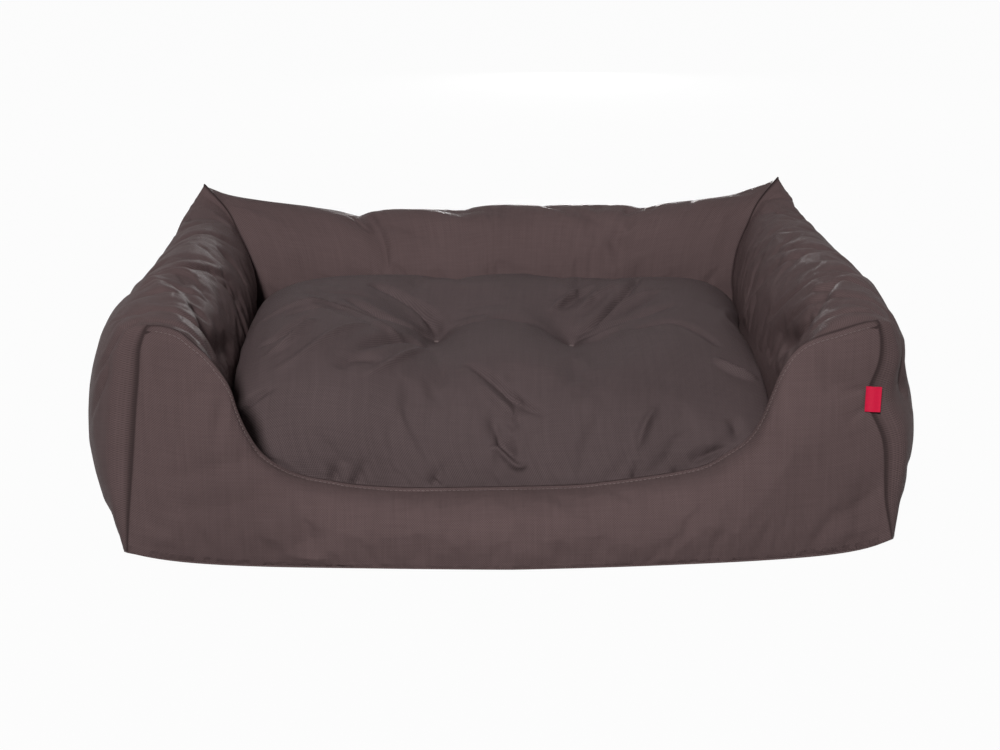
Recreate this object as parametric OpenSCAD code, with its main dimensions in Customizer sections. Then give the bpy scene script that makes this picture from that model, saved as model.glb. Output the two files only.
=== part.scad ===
// Sofa bed for a dog: three stuffed walls, a low stuffed front that the dog
// steps over, a flat base and a loose tufted cushion. Millimetres, Z up, the
// open front faces -Y, and the origin is under the middle of the bed.

/* [Overall] */
// Width across the fullest part of the two arms
bed_w = 800; // [760:5:860]
// Depth from the bowed front to the fullest part of the back
bed_d = 640; // [600:5:700]
// Height of the two pointed rear corners
corner_h = 254; // [246:1:270]

/* [Walls] */
// Thickness of an arm where it is fullest
arm_t = 140; // [128:1:144]
// Thickness of the back where it is fullest
back_t = 125; // [112:1:130]
// Height of an arm between its two ends
arm_h = 240; // [226:1:250]
// Height of the back between its two corners
back_h = 233; // [222:1:245]
// Height at which a stuffed wall is thickest
belly_h = 110; // [95:1:125]
// Depth of a stuffed wall's round that its flat foot takes off
foot_tuck = 25; // [16:1:40]
// Thickness of the walls along the rear corner seams
mitre_t = 74; // [68:1:82]
// Distance that the rear corner seams lean inwards up to their points
mitre_lean = 13; // [6:1:22]
// Distance of the rear corner seams inside the fullest width
mitre_in = 48; // [42:1:56]
// Distance of the rear corner seams inside the fullest depth
back_bow = 32; // [26:1:40]

/* [Front] */
// Distance that the front bows out ahead of its corner seams
front_bow = 31; // [24:1:40]
// Height of the points of the front corner seams
horn_h = 232; // [222:1:242]
// Height at which the inner edge of the front end starts to curve outwards
horn_mid_h = 150; // [130:1:165]
// Thickness of an arm along its front corner seam, at the foot
horn_t = 104; // [101:1:110]
// Distance that the front corner seams lean inwards up to their points
horn_lean = 26; // [16:1:34]
// Distance of the front corner seams inside the fullest width, at the foot
horn_in = 40; // [37:1:46]
// Height of the low middle of the front
entry_h = 66; // [56:1:80]
// Width of the level middle of the front
entry_w = 336; // [300:2:380]
// Thickness of the low front wall in the middle
entry_t = 103; // [90:1:112]
// Distance of the front's top seam behind the corner seams, in the middle
lip_set = 27; // [18:1:36]

/* [Cushion] */
// Height of the cushion's crown above the table
cushion_h = 171; // [150:1:180]
// Height of the cushion's edge seam above the table, at the back and the sides
cushion_seam_h = 80; // [66:1:92]
// Height of the cushion's edge seam above the table, at the front
cushion_front_seam_h = 48; // [40:1:70]
// How far the cushion swells above its crown on the left
cushion_swell = 15; // [0:1:20]
// How far the cushion sinks below its crown towards the front on the right
cushion_sink = 32; // [0:1:40]
// Least distance that each side of the cushion pulls in between its corners
cushion_draw = 2; // [0:1:8]
// Distance between the two sewn tufts
tuft_gap = 144; // [120:2:168]
// Depth of each tuft below the crown
tuft_depth = 36; // [20:1:44]

/* [Cloth and filling] */
// Thickness of the woven cloth
cloth_t = 1.2; // [0.8:0.1:2]
// Thickness of the wadding in the base
pad_t = 20; // [12:1:26]
// Clearance between a cover and what fills it
fill_gap = 3; // [2:0.5:4]
// Clearance between the loose cushion and the walls round it
cushion_gap = 3; // [1:0.5:4]

/* [Label] */
// Height of the folded label in the right front seam
label_h = 24; // [18:1:30]
// Distance that the label stands out of the seam
label_w = 14; // [10:1:18]
// Thickness of the folded label
label_t = 0.9; // [0.6:0.1:1.4]
// Height of the middle of the label above the table
label_z = 152; // [140:1:165]
// Distance that the label's stitches draw its seam inwards
label_pull = 16; // [8:1:18]

/* [Hidden] */

// Colours of the pieces
wall_colour = [0.36, 0.30, 0.30];
inside_colour = [0.31, 0.26, 0.26];
cushion_colour = [0.32, 0.28, 0.28];
filling_colour = [0.93, 0.92, 0.88];
thread_colour = [0.27, 0.22, 0.22];
label_colour = [0.78, 0.03, 0.12];

// Places that follow from the sizes
half_w = bed_w / 2;
half_d = bed_d / 2;
front_y = front_bow - half_d;
foot_x = half_w - horn_in;
horn_x = foot_x - horn_lean;
horn_inner_x = foot_x - horn_t;
mitre_foot_x = half_w - mitre_in;
mitre_foot_y = half_d - back_bow;
mitre_inner_x = mitre_foot_x - mitre_t;
mitre_inner_y = mitre_foot_y - mitre_t;
entry_back_y = entry_t - half_d;
base_z = cloth_t;
floor_z = base_z + pad_t;
rest_z = floor_z + cloth_t;

// Height on the rear corner seam at which its inner edge starts to curve outwards
mitre_mid_h = 140;
// How far the cushion's rear corners reach from the arms' full sides to the rear seams
back_corner_share = 0.3;
// Clearance between a thread or label and the cloth that it lies on
thread_gap = 0.15;
// Distance of the label ahead of its seam
label_ahead = 1.5;
// How far along the seam, and away from it, the label draws the cloth in
pull_h = 28;
pull_reach = 60;
// Distance of the top stitching from the front's top seam, and its width and height
stitch_in = 6;
stitch_w = 1.2;
stitch_t = 0.7;
// Height over which the front tucks back at its foot, and by what share of its reach
tuck_h = 22;
tuck_share = 0.03;
// Radius over which a tuft draws the cushion down
tuft_r = 44;
// Distance of the tufts behind the middle of the cushion
tuft_back = 12;
// Place, depth and reach of the pinched fold in the front slope of the cushion
pinch_x = 5;
pinch_y = -172;
pinch_depth = 15;
pinch_r = 26;
// Radius of the thread knot in each tuft, and its centre's height there in radii
knot_r = 2.5;
knot_seat = 1.6;

// Place of the cushion's swell, and its reach across and along
swell_place = [-190, 0];
swell_reach = [110, 150];
// Where the cushion starts to sink towards the right and the front, and over what distance
sink_start = [40, 140];
sink_run = [210, 300];

// Roundness of the sections: 2 is an ellipse, and more is fuller
wall_round = 2.1;
wall_foot_round = 4;
front_round = 3;
facing_round = 1.6;
cushion_side_round = 14;
cushion_front_round = 2.8;
cushion_back_round = 8;
cushion_edge_power = 0.38;
// How soon an arm fills out behind its front seam, and how round: less is sooner
arm_start_power = 0.76;
arm_fill_power = 0.42;
corner_power = 8;
corner_share = 0.035;
bow_power = 1.6;
// Angle of an arm's outer shoulder, where the front corner's point runs into it
shoulder_angle = 55;

// Steps round a wall's cover from its outer foot over the top to its inner foot,
// and every how many of them a filling takes
outer_steps = 6;
arc_steps = 8;
inner_steps = 4;
wall_steps = outer_steps + arc_steps + inner_steps;
filling_stride = 2;
// Steps along the arms and the back
arm_steps = 10;
back_steps = 14;
arm_filling_steps = 8;
back_filling_steps = 8;
// Steps across half the front: level middle, lower curve and upper curve
level_steps = 3;
lower_steps = 6;
upper_steps = 5;
half_steps = level_steps + lower_steps + upper_steps;
inner_half_steps = level_steps + lower_steps - 1;
// Steps up the front and down behind it, for its cloth and for its filling
front_rows = 7;
facing_rows = 5;
filling_rows = 4;
// Grid lines near the cushion's edges, and how many lie between them and the tufts
edge_shares = [0.84, 0.93, 0.985, 1];
open_lines = 4;
// Rings of the cushion's underside: share of the outline and of the drop
under_shares = [[1, 0], [0.96, 0.72], [0.86, 1]];

// Helpers

function blend(a, b, share) = a + (b - a) * share;
function power(v, e) = sign(v) * pow(abs(v), e);
function flat(lists) = [for (list = lists) each list];
function last(list) = len(list) - 1;
function mirrored(shares) =
    concat([for (k = [last(shares):-1:1]) -shares[k]], shares);
function sum(values) = values * [for (v = values) 1];
function middle(ring) = [for (axis = [0:2]) sum([for (p = ring) p[axis]]) / len(ring)];
function smooth(share) = let (s = min(max(share, 0), 1)) s * s * (3 - 2 * s);

// Triangles between rows of points, all with the same number in a row. In each
// quarter of the net, the cells are split along the line towards its corner.
function net(rows, cols, start, turned) = [
    for (r = [0:rows - 2], c = [0:cols - 2])
        let (a = start + r * cols + c, b = a + 1, d = a + cols, e = d + 1,
            straight = (r < (rows - 1) / 2) == (c < (cols - 1) / 2),
            cell = straight ? [[a, b, e], [a, e, d]] : [[a, b, d], [b, e, d]])
            each (turned ? reversed(cell) : cell)
];
function reversed(faces) = [for (f = faces) [f[2], f[1], f[0]]];

// Triangles that join two lists of point numbers side by side
function strip(a, b) = [
    for (k = [0:len(a) - 2]) each [[a[k], b[k], b[k + 1]], [a[k], b[k + 1], a[k + 1]]]
];

// A sheet of cloth between an outer and an inner net of points
module sheet(outer, inner, turned = false) {
    rows = len(outer);
    cols = len(outer[0]);
    size = rows * cols;
    left = [for (r = [0:rows - 1]) r * cols];
    right = [for (r = [0:rows - 1]) r * cols + cols - 1];
    low = [for (c = [0:cols - 1]) c];
    high = [for (c = [0:cols - 1]) (rows - 1) * cols + c];
    edges = concat(
        strip([for (k = left) k + size], left),
        strip(right, [for (k = right) k + size]),
        strip(low, [for (k = low) k + size]),
        strip([for (k = high) k + size], high));
    faces = concat(net(rows, cols, 0, false), net(rows, cols, size, true), edges);
    polyhedron(
        points = concat(flat(outer), flat(inner)),
        faces = turned ? reversed(faces) : faces);
}

// A solid through closed rings of points, with a fan of triangles at each end
module loft(rings, turned = false) {
    cols = len(rings[0]);
    size = len(rings) * cols;
    closed = [for (ring = rings) concat(ring, [ring[0]])];
    wide = cols + 1;
    sides = [
        for (f = net(len(rings), wide, 0, false))
            [for (k = f) floor(k / wide) * cols + (k % wide) % cols]
    ];
    first = [for (c = [0:cols - 1]) [c, size, (c + 1) % cols]];
    end = size - cols;
    final = [for (c = [0:cols - 1]) [end + c, end + (c + 1) % cols, size + 1]];
    faces = concat(sides, first, final);
    polyhedron(
        points = concat(flat(rings), [middle(rings[0]), middle(rings[last(rings)])]),
        faces = turned ? reversed(faces) : faces);
}

// Walls

// A sewn end of a wall: inner side, point, outer foot, start of the curve, height
front_seam = [horn_inner_x, horn_x, foot_x, horn_mid_h, horn_h];
mitre_seam_x = [mitre_inner_x, mitre_foot_x - mitre_lean, mitre_foot_x, mitre_mid_h, corner_h];
mitre_seam_y = [mitre_inner_y, mitre_foot_y - mitre_lean, mitre_foot_y, mitre_mid_h, corner_h];
// The stuffed middle of a wall: centre, half thickness, height
arm_full = [half_w - arm_t / 2, arm_t / 2, arm_h];
back_full = [half_d - back_t / 2, back_t / 2, back_h];

// Point k of a sewn end, drawn in by the inset
function seam_point(k, seam, inset) =
    let (inner = seam[0] + inset, crown = seam[1] - inset, outer = seam[2] - inset,
        mid = seam[3], top = seam[4] - inset)
    k <= outer_steps
        ? [blend(outer, crown, k / outer_steps), blend(base_z, top, k / outer_steps)]
        : k <= outer_steps + arc_steps
            ? let (a = 90 * (1 - (k - outer_steps) / arc_steps))
                [blend(crown, inner, cos(a)), blend(mid, top, sin(a))]
            : [inner, blend(mid, base_z, (k - outer_steps - arc_steps) / inner_steps)];

// Angle below level at which a stuffed section meets its flat foot
function foot_angle(round, inset) =
    asin(pow((belly_h - base_z) / ((belly_h + foot_tuck) - inset), round / 2));

// Point k of a stuffed section, drawn in by the inset
function full_point(k, full, inset) =
    let (past = k - outer_steps,
        a = k <= outer_steps
            ? blend(-foot_angle(wall_round, inset), shoulder_angle, k / outer_steps)
            : past <= arc_steps
                ? blend(shoulder_angle, 180, past / arc_steps)
                : blend(180, 180 + foot_angle(wall_foot_round, inset),
                    (past - arc_steps) / inner_steps),
        round = a > 180 ? wall_foot_round : wall_round,
        reach = a > 180 || a < 0 ? (belly_h + foot_tuck) : full[2] - belly_h)
    [full[0] + (full[1] - inset) * power(cos(a), 2 / round),
        belly_h + (reach - inset) * power(sin(a), 2 / round)];

// How full a wall is at a share of its length: flat at the seams, full between
function back_fullness(share) = sqrt(sin(180 * share));
function arm_fullness(share) =
    pow(sin(180 * pow(share, arm_start_power)), arm_fill_power);
function spread(k, steps) = (1 - cos(180 * k / steps)) / 2;

function wall_point(k, seam, full, fullness, inset) =
    blend(seam_point(k, seam, inset), full_point(k, full, inset), fullness);

// Points across the right arm at a share of its length, from the front
function arm_row(share, inset, stride = 1) = [
    for (k = [0:stride:wall_steps])
        let (seam = blend(front_seam, mitre_seam_x, share),
            p = wall_point(k, seam, arm_full, arm_fullness(share), inset))
            [p[0], blend(front_y, p[0] - mitre_inner_x + mitre_inner_y, share), p[1]]
];

// Points across the back at a share of its length, from the left
function back_row(share, inset, stride = 1) = [
    for (k = [0:stride:wall_steps])
        let (p = wall_point(k, mitre_seam_y, back_full, back_fullness(share), inset))
            [(2 * share - 1) * (p[0] - mitre_inner_y + mitre_inner_x), p[0], p[1]]
];

function arm_net(inset, steps, stride = 1) =
    [for (k = [0:steps]) arm_row(spread(k, steps), inset, stride)];
function back_net(inset, steps, stride = 1) =
    [for (k = [0:steps]) back_row(spread(k, steps), inset, stride)];

// Points of the right arm or the front, drawn in round the label's seam
function pulled(net) = [for (row = net) [for (p = row) drawn_in(p)]];
function drawn_in(p) =
    let (side = smooth((p[0] - horn_inner_x) / (horn_x - horn_inner_x)),
        height = (p[2] - label_z) / pull_h,
        away = abs(p[1] - front_y) / pull_reach)
    [p[0] - label_pull * side * exp(-height * height - away), p[1], p[2]];

// Front

// Column c of half the front, from the middle: top edge, as distance and height
function edge_point(c) =
    c <= level_steps
        ? [entry_w / 2 * c / level_steps, entry_h]
        : c <= level_steps + lower_steps
            ? let (a = 90 * (c - level_steps) / lower_steps)
                [blend(entry_w / 2, horn_inner_x, sin(a)), blend(horn_mid_h, entry_h, cos(a))]
            : let (a = 90 * (c - level_steps - lower_steps) / upper_steps)
                [blend(horn_x, horn_inner_x, cos(a)), blend(horn_mid_h, horn_h, sin(a))];

// Foot of the column under a top point: only the arms' ends lean
function foot_under(x) =
    x <= horn_inner_x ? x : blend(x, x + horn_lean, (x - horn_inner_x) / (horn_x - horn_inner_x));

// How far the top seam lies behind the corner seams, and the front bows out of it
function seam_set(x) = lip_set * (1 - smooth((x - entry_w / 2) / (horn_inner_x - entry_w / 2)));
function bow(x) = front_bow * (1 - pow(foot_under(x) / foot_x, bow_power));

// Point of the front at column c and an angle from its foot, 0, to its top seam, 90.
// The side is 1 for the outside of the front and -1 for its inner face.
function front_point(c, angle, side, inset) =
    let (top = edge_point(abs(c)),
        edge_y = front_y + seam_set(top[0]),
        round = side > 0 ? front_round : facing_round,
        reach = side > 0 ? max(bow(top[0]) + seam_set(top[0]) - inset, 0)
            : entry_back_y - edge_y - inset,
        lift = blend(0, top[1] - inset - base_z, pow(sin(angle), 2 / round)),
        tuck = side > 0 ? tuck_share * pow(max(1 - lift / tuck_h, 0), 2) : 0,
        out = reach * pow(cos(angle), 2 / round) * (1 - tuck),
        x = blend(foot_under(top[0]), top[0], lift / (top[1] - base_z)))
    [sign(c) * (x - (abs(c) == half_steps ? inset : 0)), edge_y - side * out, base_z + lift];

function front_net(inset, half, rows, side) = [
    for (c = [-half:half])
        [for (r = [0:rows]) front_point(c, 90 * r / rows, side, inset)]
];

// A closed section of the front's filling at column c
function front_ring(c, inset) = concat(
    [for (r = [0:filling_rows]) front_point(c, 90 * r / filling_rows, 1, inset)],
    [for (r = [filling_rows - 1:-1:0]) front_point(c, 90 * r / filling_rows, -1, inset)]);

// Angle on the front's section that lies a distance below the top seam
function stitch_angle(c, along) =
    let (top = edge_point(abs(c)), reach = bow(top[0]) + seam_set(top[0]),
        by_reach = along < reach ? acos(pow(along / reach, front_round / 2)) : 0,
        by_height = asin(pow(1 - along / (top[1] - base_z), front_round / 2)))
    max(by_reach, by_height);

function stitch_ring(c) =
    let (near = stitch_angle(c, stitch_in), far = stitch_angle(c, stitch_in + stitch_w))
    [front_point(c, near, 1, -thread_gap), front_point(c, far, 1, -thread_gap),
        front_point(c, far, 1, -thread_gap - stitch_t),
        front_point(c, near, 1, -thread_gap - stitch_t)];

// Base

// Outline of the whole foot, from the left end of the front round to it again
foot_outline = concat(
    [for (c = [-half_steps:half_steps]) let (p = front_point(c, 0, 1, 0)) [p[0], p[1]]],
    [for (k = [1:arm_steps]) let (p = arm_row(spread(k, arm_steps), 0)[0]) [p[0], p[1]]],
    [for (k = [back_steps - 1:-1:0]) let (p = back_row(spread(k, back_steps), 0)[0]) [p[0], p[1]]],
    [for (k = [arm_steps - 1:-1:1]) let (p = arm_row(spread(k, arm_steps), 0)[0]) [-p[0], p[1]]]);

// Rectangle inside the four walls, which the base wadding and the floor fill
well_x = horn_inner_x - cushion_gap / 2;
well_back_y = half_d - back_t - cushion_gap / 2;
well_front_y = entry_back_y + cushion_gap / 4;

module well_outline() {
    translate([0, (well_back_y + well_front_y) / 2])
        square([2 * well_x, well_back_y - well_front_y], center = true);
}

// Cushion

// Half widths that the walls leave it at its front, middle and back
arm_inner_x = half_w - arm_t;
cushion_front_half = min(horn_inner_x, arm_inner_x) - cushion_gap;
cushion_back_half = blend(arm_inner_x, mitre_inner_x, back_corner_share) - 2 * cushion_gap;
cushion_mean_half = (cushion_front_half + cushion_back_half) / 2;
side_draw = max(cushion_draw, cushion_mean_half - arm_inner_x + cushion_gap);

cushion_front_y = entry_back_y + cushion_gap;
cushion_back_y = half_d - back_t - 2 * cushion_gap;
cushion_y = (cushion_front_y + cushion_back_y) / 2;
cushion_half_d = (cushion_back_y - cushion_front_y) / 2;

// The tufts' places, and the grid lines that run through them
tufts = [for (side = [-1, 1]) [side * tuft_gap / 2, cushion_y + tuft_back]];
tuft_across = tuft_gap / 2 / (cushion_mean_half - side_draw);
tuft_along = tuft_back / cushion_half_d;
across_lines = mirrored(concat([0, tuft_across / 2, tuft_across], lines_from(tuft_across), edge_shares));
along_lines = mirrored(concat([0, tuft_along], lines_from(tuft_along), edge_shares));
function lines_from(share) =
    [for (k = [1:open_lines]) blend(share, edge_shares[0], k / (open_lines + 1))];

// Place on the cushion's plan: across and along run from -1 to 1
function cushion_plan(across, along, inset) =
    let (half = blend(cushion_front_half, cushion_back_half, (along + 1) / 2),
        pulled = half - side_draw * (1 - along * along) - inset,
        deep = cushion_half_d - cushion_draw * (1 - across * across) - inset,
        round = 1 - corner_share * pow(across * along, corner_power))
    [across * pulled * round, cushion_y + along * deep * round];

// How far the tufts and the front fold draw the top down at a place
function drawn_down(place) =
    tuft_depth * sum([for (t = tufts) exp(-norm(place - t) / tuft_r)])
    + pinch_depth * exp(-norm(place - [pinch_x, pinch_y]) / pinch_r);

function rise(across, along) =
    pow((1 - pow(abs(across), cushion_side_round))
        * (1 - pow(abs(along), along < 0 ? cushion_front_round : cushion_back_round)),
        cushion_edge_power);

// Height of the edge seam, which dips towards the front
function seam_height(along) =
    blend(cushion_front_seam_h, cushion_seam_h, smooth((along + 0.9) / 0.9));

// Height of the top over a place before its edges round off
function crown(place) =
    let (from = place - swell_place, dx = from[0] / swell_reach[0], dy = from[1] / swell_reach[1],
        right = smooth((place[0] - sink_start[0]) / sink_run[0]),
        ahead = smooth((sink_start[1] - place[1]) / sink_run[1]))
    cushion_h + cushion_swell * exp(-dx * dx - dy * dy) - cushion_sink * right * ahead
        - drawn_down(place);

function cushion_top(across, along, inset) =
    let (place = cushion_plan(across, along, inset), seam = seam_height(along))
    [place[0], place[1],
        seam + rise(across, along) * (crown(cushion_plan(across, along, 0)) - seam - inset)];

function cushion_net(inset) =
    [for (along = along_lines) [for (across = across_lines) cushion_top(across, along, inset)]];

// The cushion's outline as one closed ring of places on its plan
function outline_places() = concat(
    [for (k = [0:last(across_lines) - 1]) [across_lines[k], -1]],
    [for (k = [0:last(along_lines) - 1]) [1, along_lines[k]]],
    [for (k = [last(across_lines):-1:1]) [across_lines[k], 1]],
    [for (k = [last(along_lines):-1:1]) [-1, along_lines[k]]]);

// Ring of the cushion's underside, drawn in by the inset and raised by the lift
function under_ring(part, inset, lift) =
    [for (place = outline_places())
        let (p = cushion_plan(place[0], place[1], inset))
            [p[0] * part[0], cushion_y + (p[1] - cushion_y) * part[0],
                blend(seam_height(place[1]), rest_z + lift, part[1])]];

// The pieces

module bottom_panel() {
    color(inside_colour) linear_extrude(cloth_t) polygon(foot_outline);
}

module base_pad() {
    color(filling_colour) translate([0, 0, base_z]) linear_extrude(pad_t) well_outline();
}

module floor_panel() {
    color(inside_colour) translate([0, 0, floor_z]) linear_extrude(cloth_t) well_outline();
}

module front_panel() {
    color(wall_colour) sheet(
        pulled(front_net(0, half_steps, front_rows, 1)),
        pulled(front_net(cloth_t, half_steps, front_rows, 1)));
}

module front_facing() {
    color(inside_colour) sheet(
        front_net(0, inner_half_steps, facing_rows, -1),
        front_net(cloth_t, inner_half_steps, facing_rows, -1), turned = true);
}

module front_filling() {
    color(filling_colour) loft(
        [for (c = [-inner_half_steps:inner_half_steps]) front_ring(c, cloth_t + fill_gap)]);
}

module left_arm_cover() {
    color(wall_colour) mirror([1, 0, 0]) sheet(arm_net(0, arm_steps), arm_net(cloth_t, arm_steps));
}

module right_arm_cover() {
    color(wall_colour) sheet(pulled(arm_net(0, arm_steps)), pulled(arm_net(cloth_t, arm_steps)));
}

module left_arm_filling() {
    color(filling_colour) mirror([1, 0, 0])
        loft(arm_net(cloth_t + fill_gap, arm_filling_steps, filling_stride));
}

module right_arm_filling() {
    color(filling_colour)
        loft(pulled(arm_net(cloth_t + fill_gap, arm_filling_steps, filling_stride)));
}

module back_cover() {
    color(wall_colour) sheet(back_net(0, back_steps), back_net(cloth_t, back_steps), turned = true);
}

module back_filling() {
    color(filling_colour)
        loft(back_net(cloth_t + fill_gap, back_filling_steps, filling_stride), turned = true);
}

module notch_stitching() {
    color(thread_colour) loft(pulled([for (c = [1 - half_steps:half_steps - 1]) stitch_ring(c)]));
}

// Folded label: flat ribbon with its round fold at the free end
module label_tab() {
    seam = drawn_in([blend(foot_x, horn_x, label_z / horn_h), front_y, label_z]);
    color(label_colour)
        translate(seam + [2 * thread_gap, -label_t / 2 - label_ahead, 0])
            linear_extrude(label_h, center = true) {
                translate([0, -label_t / 2]) square([label_w - label_t / 2, label_t]);
                translate([label_w - label_t / 2, 0]) circle(d = label_t, $fn = 24);
            }
}

module cushion_top_panel() {
    color(cushion_colour) sheet(cushion_net(0), cushion_net(cloth_t), turned = true);
}

module cushion_bottom_panel() {
    rings = concat(
        [for (part = under_shares) under_ring(part, 0, 0)],
        [for (k = [last(under_shares):-1:0]) under_ring(under_shares[k], cloth_t, cloth_t)]);
    color(cushion_colour) bowl(rings);
}

// A shell from closed rings that run down its outside and up its inside
module bowl(rings) {
    cols = len(rings[0]);
    half = len(rings) / 2;
    wide = cols + 1;
    centre = len(rings) * cols;
    sides = [
        for (f = concat(net(half, wide, 0, false), net(half, wide, half * wide, false)))
            [for (k = f) floor(k / wide) * cols + (k % wide) % cols]
    ];
    outer_end = (half - 1) * cols;
    inner_end = half * cols;
    floors = [
        for (c = [0:cols - 1]) let (d = (c + 1) % cols)
            each [[outer_end + c, outer_end + d, centre], [inner_end + d, inner_end + c, centre + 1]]
    ];
    rim = (len(rings) - 1) * cols;
    edge = [
        for (c = [0:cols - 1]) let (d = (c + 1) % cols) each [[rim + c, rim + d, d], [rim + c, d, c]]
    ];
    polyhedron(
        points = concat(flat(rings), [middle(rings[half - 1]), middle(rings[half])]),
        faces = concat(sides, floors, edge));
}

module cushion_filling() {
    color(filling_colour) stuffing(
        cushion_net(cloth_t + fill_gap),
        [for (k = [1:last(under_shares)]) under_ring(under_shares[k], cloth_t + fill_gap, cloth_t)]);
}

// A closed solid under a net of points, down through rings to a flat foot
module stuffing(top, rings) {
    rows = len(top);
    cols = len(top[0]);
    size = rows * cols;
    rim = concat(
        [for (c = [0:cols - 2]) c],
        [for (r = [0:rows - 2]) r * cols + cols - 1],
        [for (c = [cols - 1:-1:1]) (rows - 1) * cols + c],
        [for (r = [rows - 1:-1:1]) r * cols]);
    count = len(rim);
    loops = concat([rim], [for (k = [0:last(rings)]) [for (c = [0:count - 1]) size + k * count + c]]);
    centre = size + len(rings) * count;
    sides = [
        for (k = [0:last(loops) - 1], c = [0:count - 1])
            let (d = (c + 1) % count, a = loops[k], b = loops[k + 1])
                each [[a[c], a[d], b[d]], [a[c], b[d], b[c]]]
    ];
    foot = [for (c = [0:count - 1]) [loops[last(loops)][c], loops[last(loops)][(c + 1) % count], centre]];
    polyhedron(
        points = concat(flat(top), flat(rings), [middle(rings[last(rings)])]),
        faces = concat(net(rows, cols, 0, true), sides, foot));
}

module tuft_knots() {
    color(thread_colour)
        for (side = [-1, 1])
            translate(cushion_top(side * tuft_across, tuft_along, 0) + [0, 0, knot_seat * knot_r])
                sphere(knot_r, $fn = 24);
}

bottom_panel();
base_pad();
floor_panel();
front_panel();
front_facing();
front_filling();
left_arm_cover();
left_arm_filling();
right_arm_cover();
right_arm_filling();
back_cover();
back_filling();
notch_stitching();
label_tab();
cushion_top_panel();
cushion_bottom_panel();
cushion_filling();
tuft_knots();
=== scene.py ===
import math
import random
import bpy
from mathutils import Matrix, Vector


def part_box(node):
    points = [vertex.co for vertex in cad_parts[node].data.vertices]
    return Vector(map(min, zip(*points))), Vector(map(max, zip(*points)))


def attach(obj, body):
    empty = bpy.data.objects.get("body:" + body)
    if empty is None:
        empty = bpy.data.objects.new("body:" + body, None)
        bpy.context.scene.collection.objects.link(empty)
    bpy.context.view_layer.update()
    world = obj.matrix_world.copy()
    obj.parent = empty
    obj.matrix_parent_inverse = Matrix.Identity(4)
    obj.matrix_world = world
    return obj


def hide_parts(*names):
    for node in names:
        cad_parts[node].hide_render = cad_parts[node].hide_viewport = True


bl_info = {
    "name": "Dog Sofa Bed",
    "version": (1, 0, 0),
    "blender": (4, 5, 0),
    "location": "3D View > Sidebar > Sofa Bed",
    "description": "Sews, stuffs and finishes a dog's sofa bed round its packed model",
    "category": "Add Mesh",
}

import bmesh
import bpy
import numpy as np
from bpy.props import FloatProperty, FloatVectorProperty, PointerProperty
from mathutils import Matrix, Vector
from mathutils.bvhtree import BVHTree

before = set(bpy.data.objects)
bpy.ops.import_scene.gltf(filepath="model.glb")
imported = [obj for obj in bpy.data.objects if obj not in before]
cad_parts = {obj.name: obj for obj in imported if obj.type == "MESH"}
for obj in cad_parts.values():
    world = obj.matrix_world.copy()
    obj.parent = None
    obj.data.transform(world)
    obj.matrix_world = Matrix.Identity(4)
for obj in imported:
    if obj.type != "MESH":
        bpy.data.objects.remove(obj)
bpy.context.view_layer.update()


# Sizes and colours that a user would change

def length(name, description, default):
    return FloatProperty(name=name, description=description, default=default,
                         min=0.0, unit="LENGTH", subtype="DISTANCE", precision=4)


def share(name, description, default):
    return FloatProperty(name=name, description=description, default=default,
                         min=0.0, max=1.0, subtype="FACTOR")


def colour(name, description, default):
    return FloatVectorProperty(name=name, description=description, default=default,
                               size=3, min=0.0, max=1.0, subtype="COLOR")


class SofaBedWalls(bpy.types.PropertyGroup):
    """Sizes of the arms and the back."""
    width: length("Width", "Width across the fullest part of the two arms", 0.800)
    depth: length("Depth", "Depth from the bowed front to the back", 0.640)
    arm_thickness: length("Arm thickness", "Thickness of an arm where it is fullest", 0.140)
    back_thickness: length("Back thickness", "Thickness of the back where it is fullest", 0.125)
    arm_height: length("Arm height", "Height of an arm between its ends", 0.240)
    back_height: length("Back height", "Height of the back between its corners", 0.233)
    corner_height: length("Corner height", "Height of the two pointed rear corners", 0.257)
    belly_height: length("Belly height", "Height at which a wall is thickest", 0.110)
    foot_tuck: length("Foot tuck", "Depth of a wall's round that its flat foot takes off", 0.025)
    mitre_thickness: length("Corner thickness", "Thickness of a wall along its rear seam", 0.084)
    mitre_lean: length("Corner lean", "How far the rear seams lean inwards", 0.013)
    mitre_inset: length("Corner inset", "Rear seams inside the fullest width", 0.048)
    back_bow: length("Back bow", "Rear seams inside the fullest depth", 0.032)
    cloth: length("Cloth", "Thickness of the woven cloth", 0.0012)
    slack: share("Slack", "Share by which the cloth is cut larger than its filling", 0.03)
    wrinkles: length("Wrinkles", "Depth of the fine wrinkles on the arms", 0.0006)


class SofaBedFront(bpy.types.PropertyGroup):
    """Sizes of the low front and its seams."""
    bow: length("Bow", "How far the front bows out ahead of its corner seams", 0.031)
    end_thickness: length("End thickness", "Thickness of an arm along its front seam", 0.104)
    seam_inset: length("Seam inset", "Front seams inside the fullest width, at the foot", 0.040)
    entry_width: length("Entry width", "Width of the level middle of the front", 0.336)
    entry_thickness: length("Entry thickness", "Thickness of the low front wall", 0.103)
    lip_setback: length("Lip setback", "Top seam behind the corner seams, in the middle", 0.027)
    hem: length("Hem", "Distance of the top stitching from the notch's edge", 0.006)
    stitch: length("Stitch", "Length of a stitch with the gap after it", 0.0042)
    corner_lift: length("Corner lift", "Height of the front corners above the floor", 0.013)


class SofaBedCushion(bpy.types.PropertyGroup):
    """Sizes of the loose cushion."""
    height: length("Height", "Height of the cushion's crown above the floor", 0.171)
    seam_height: length("Seam height", "Height of its edge seam at the back", 0.080)
    front_seam_height: length("Front seam height", "Height of its edge seam at the front", 0.044)
    draw: length("Draw", "How far each side pulls in between its corners", 0.002)
    gap: length("Gap", "Clearance to the walls round it", 0.003)
    tuft_gap: length("Tuft gap", "Distance between the two tufts", 0.144)
    tuft_depth: length("Tuft depth", "Depth of each tuft below the crown", 0.044)


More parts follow.
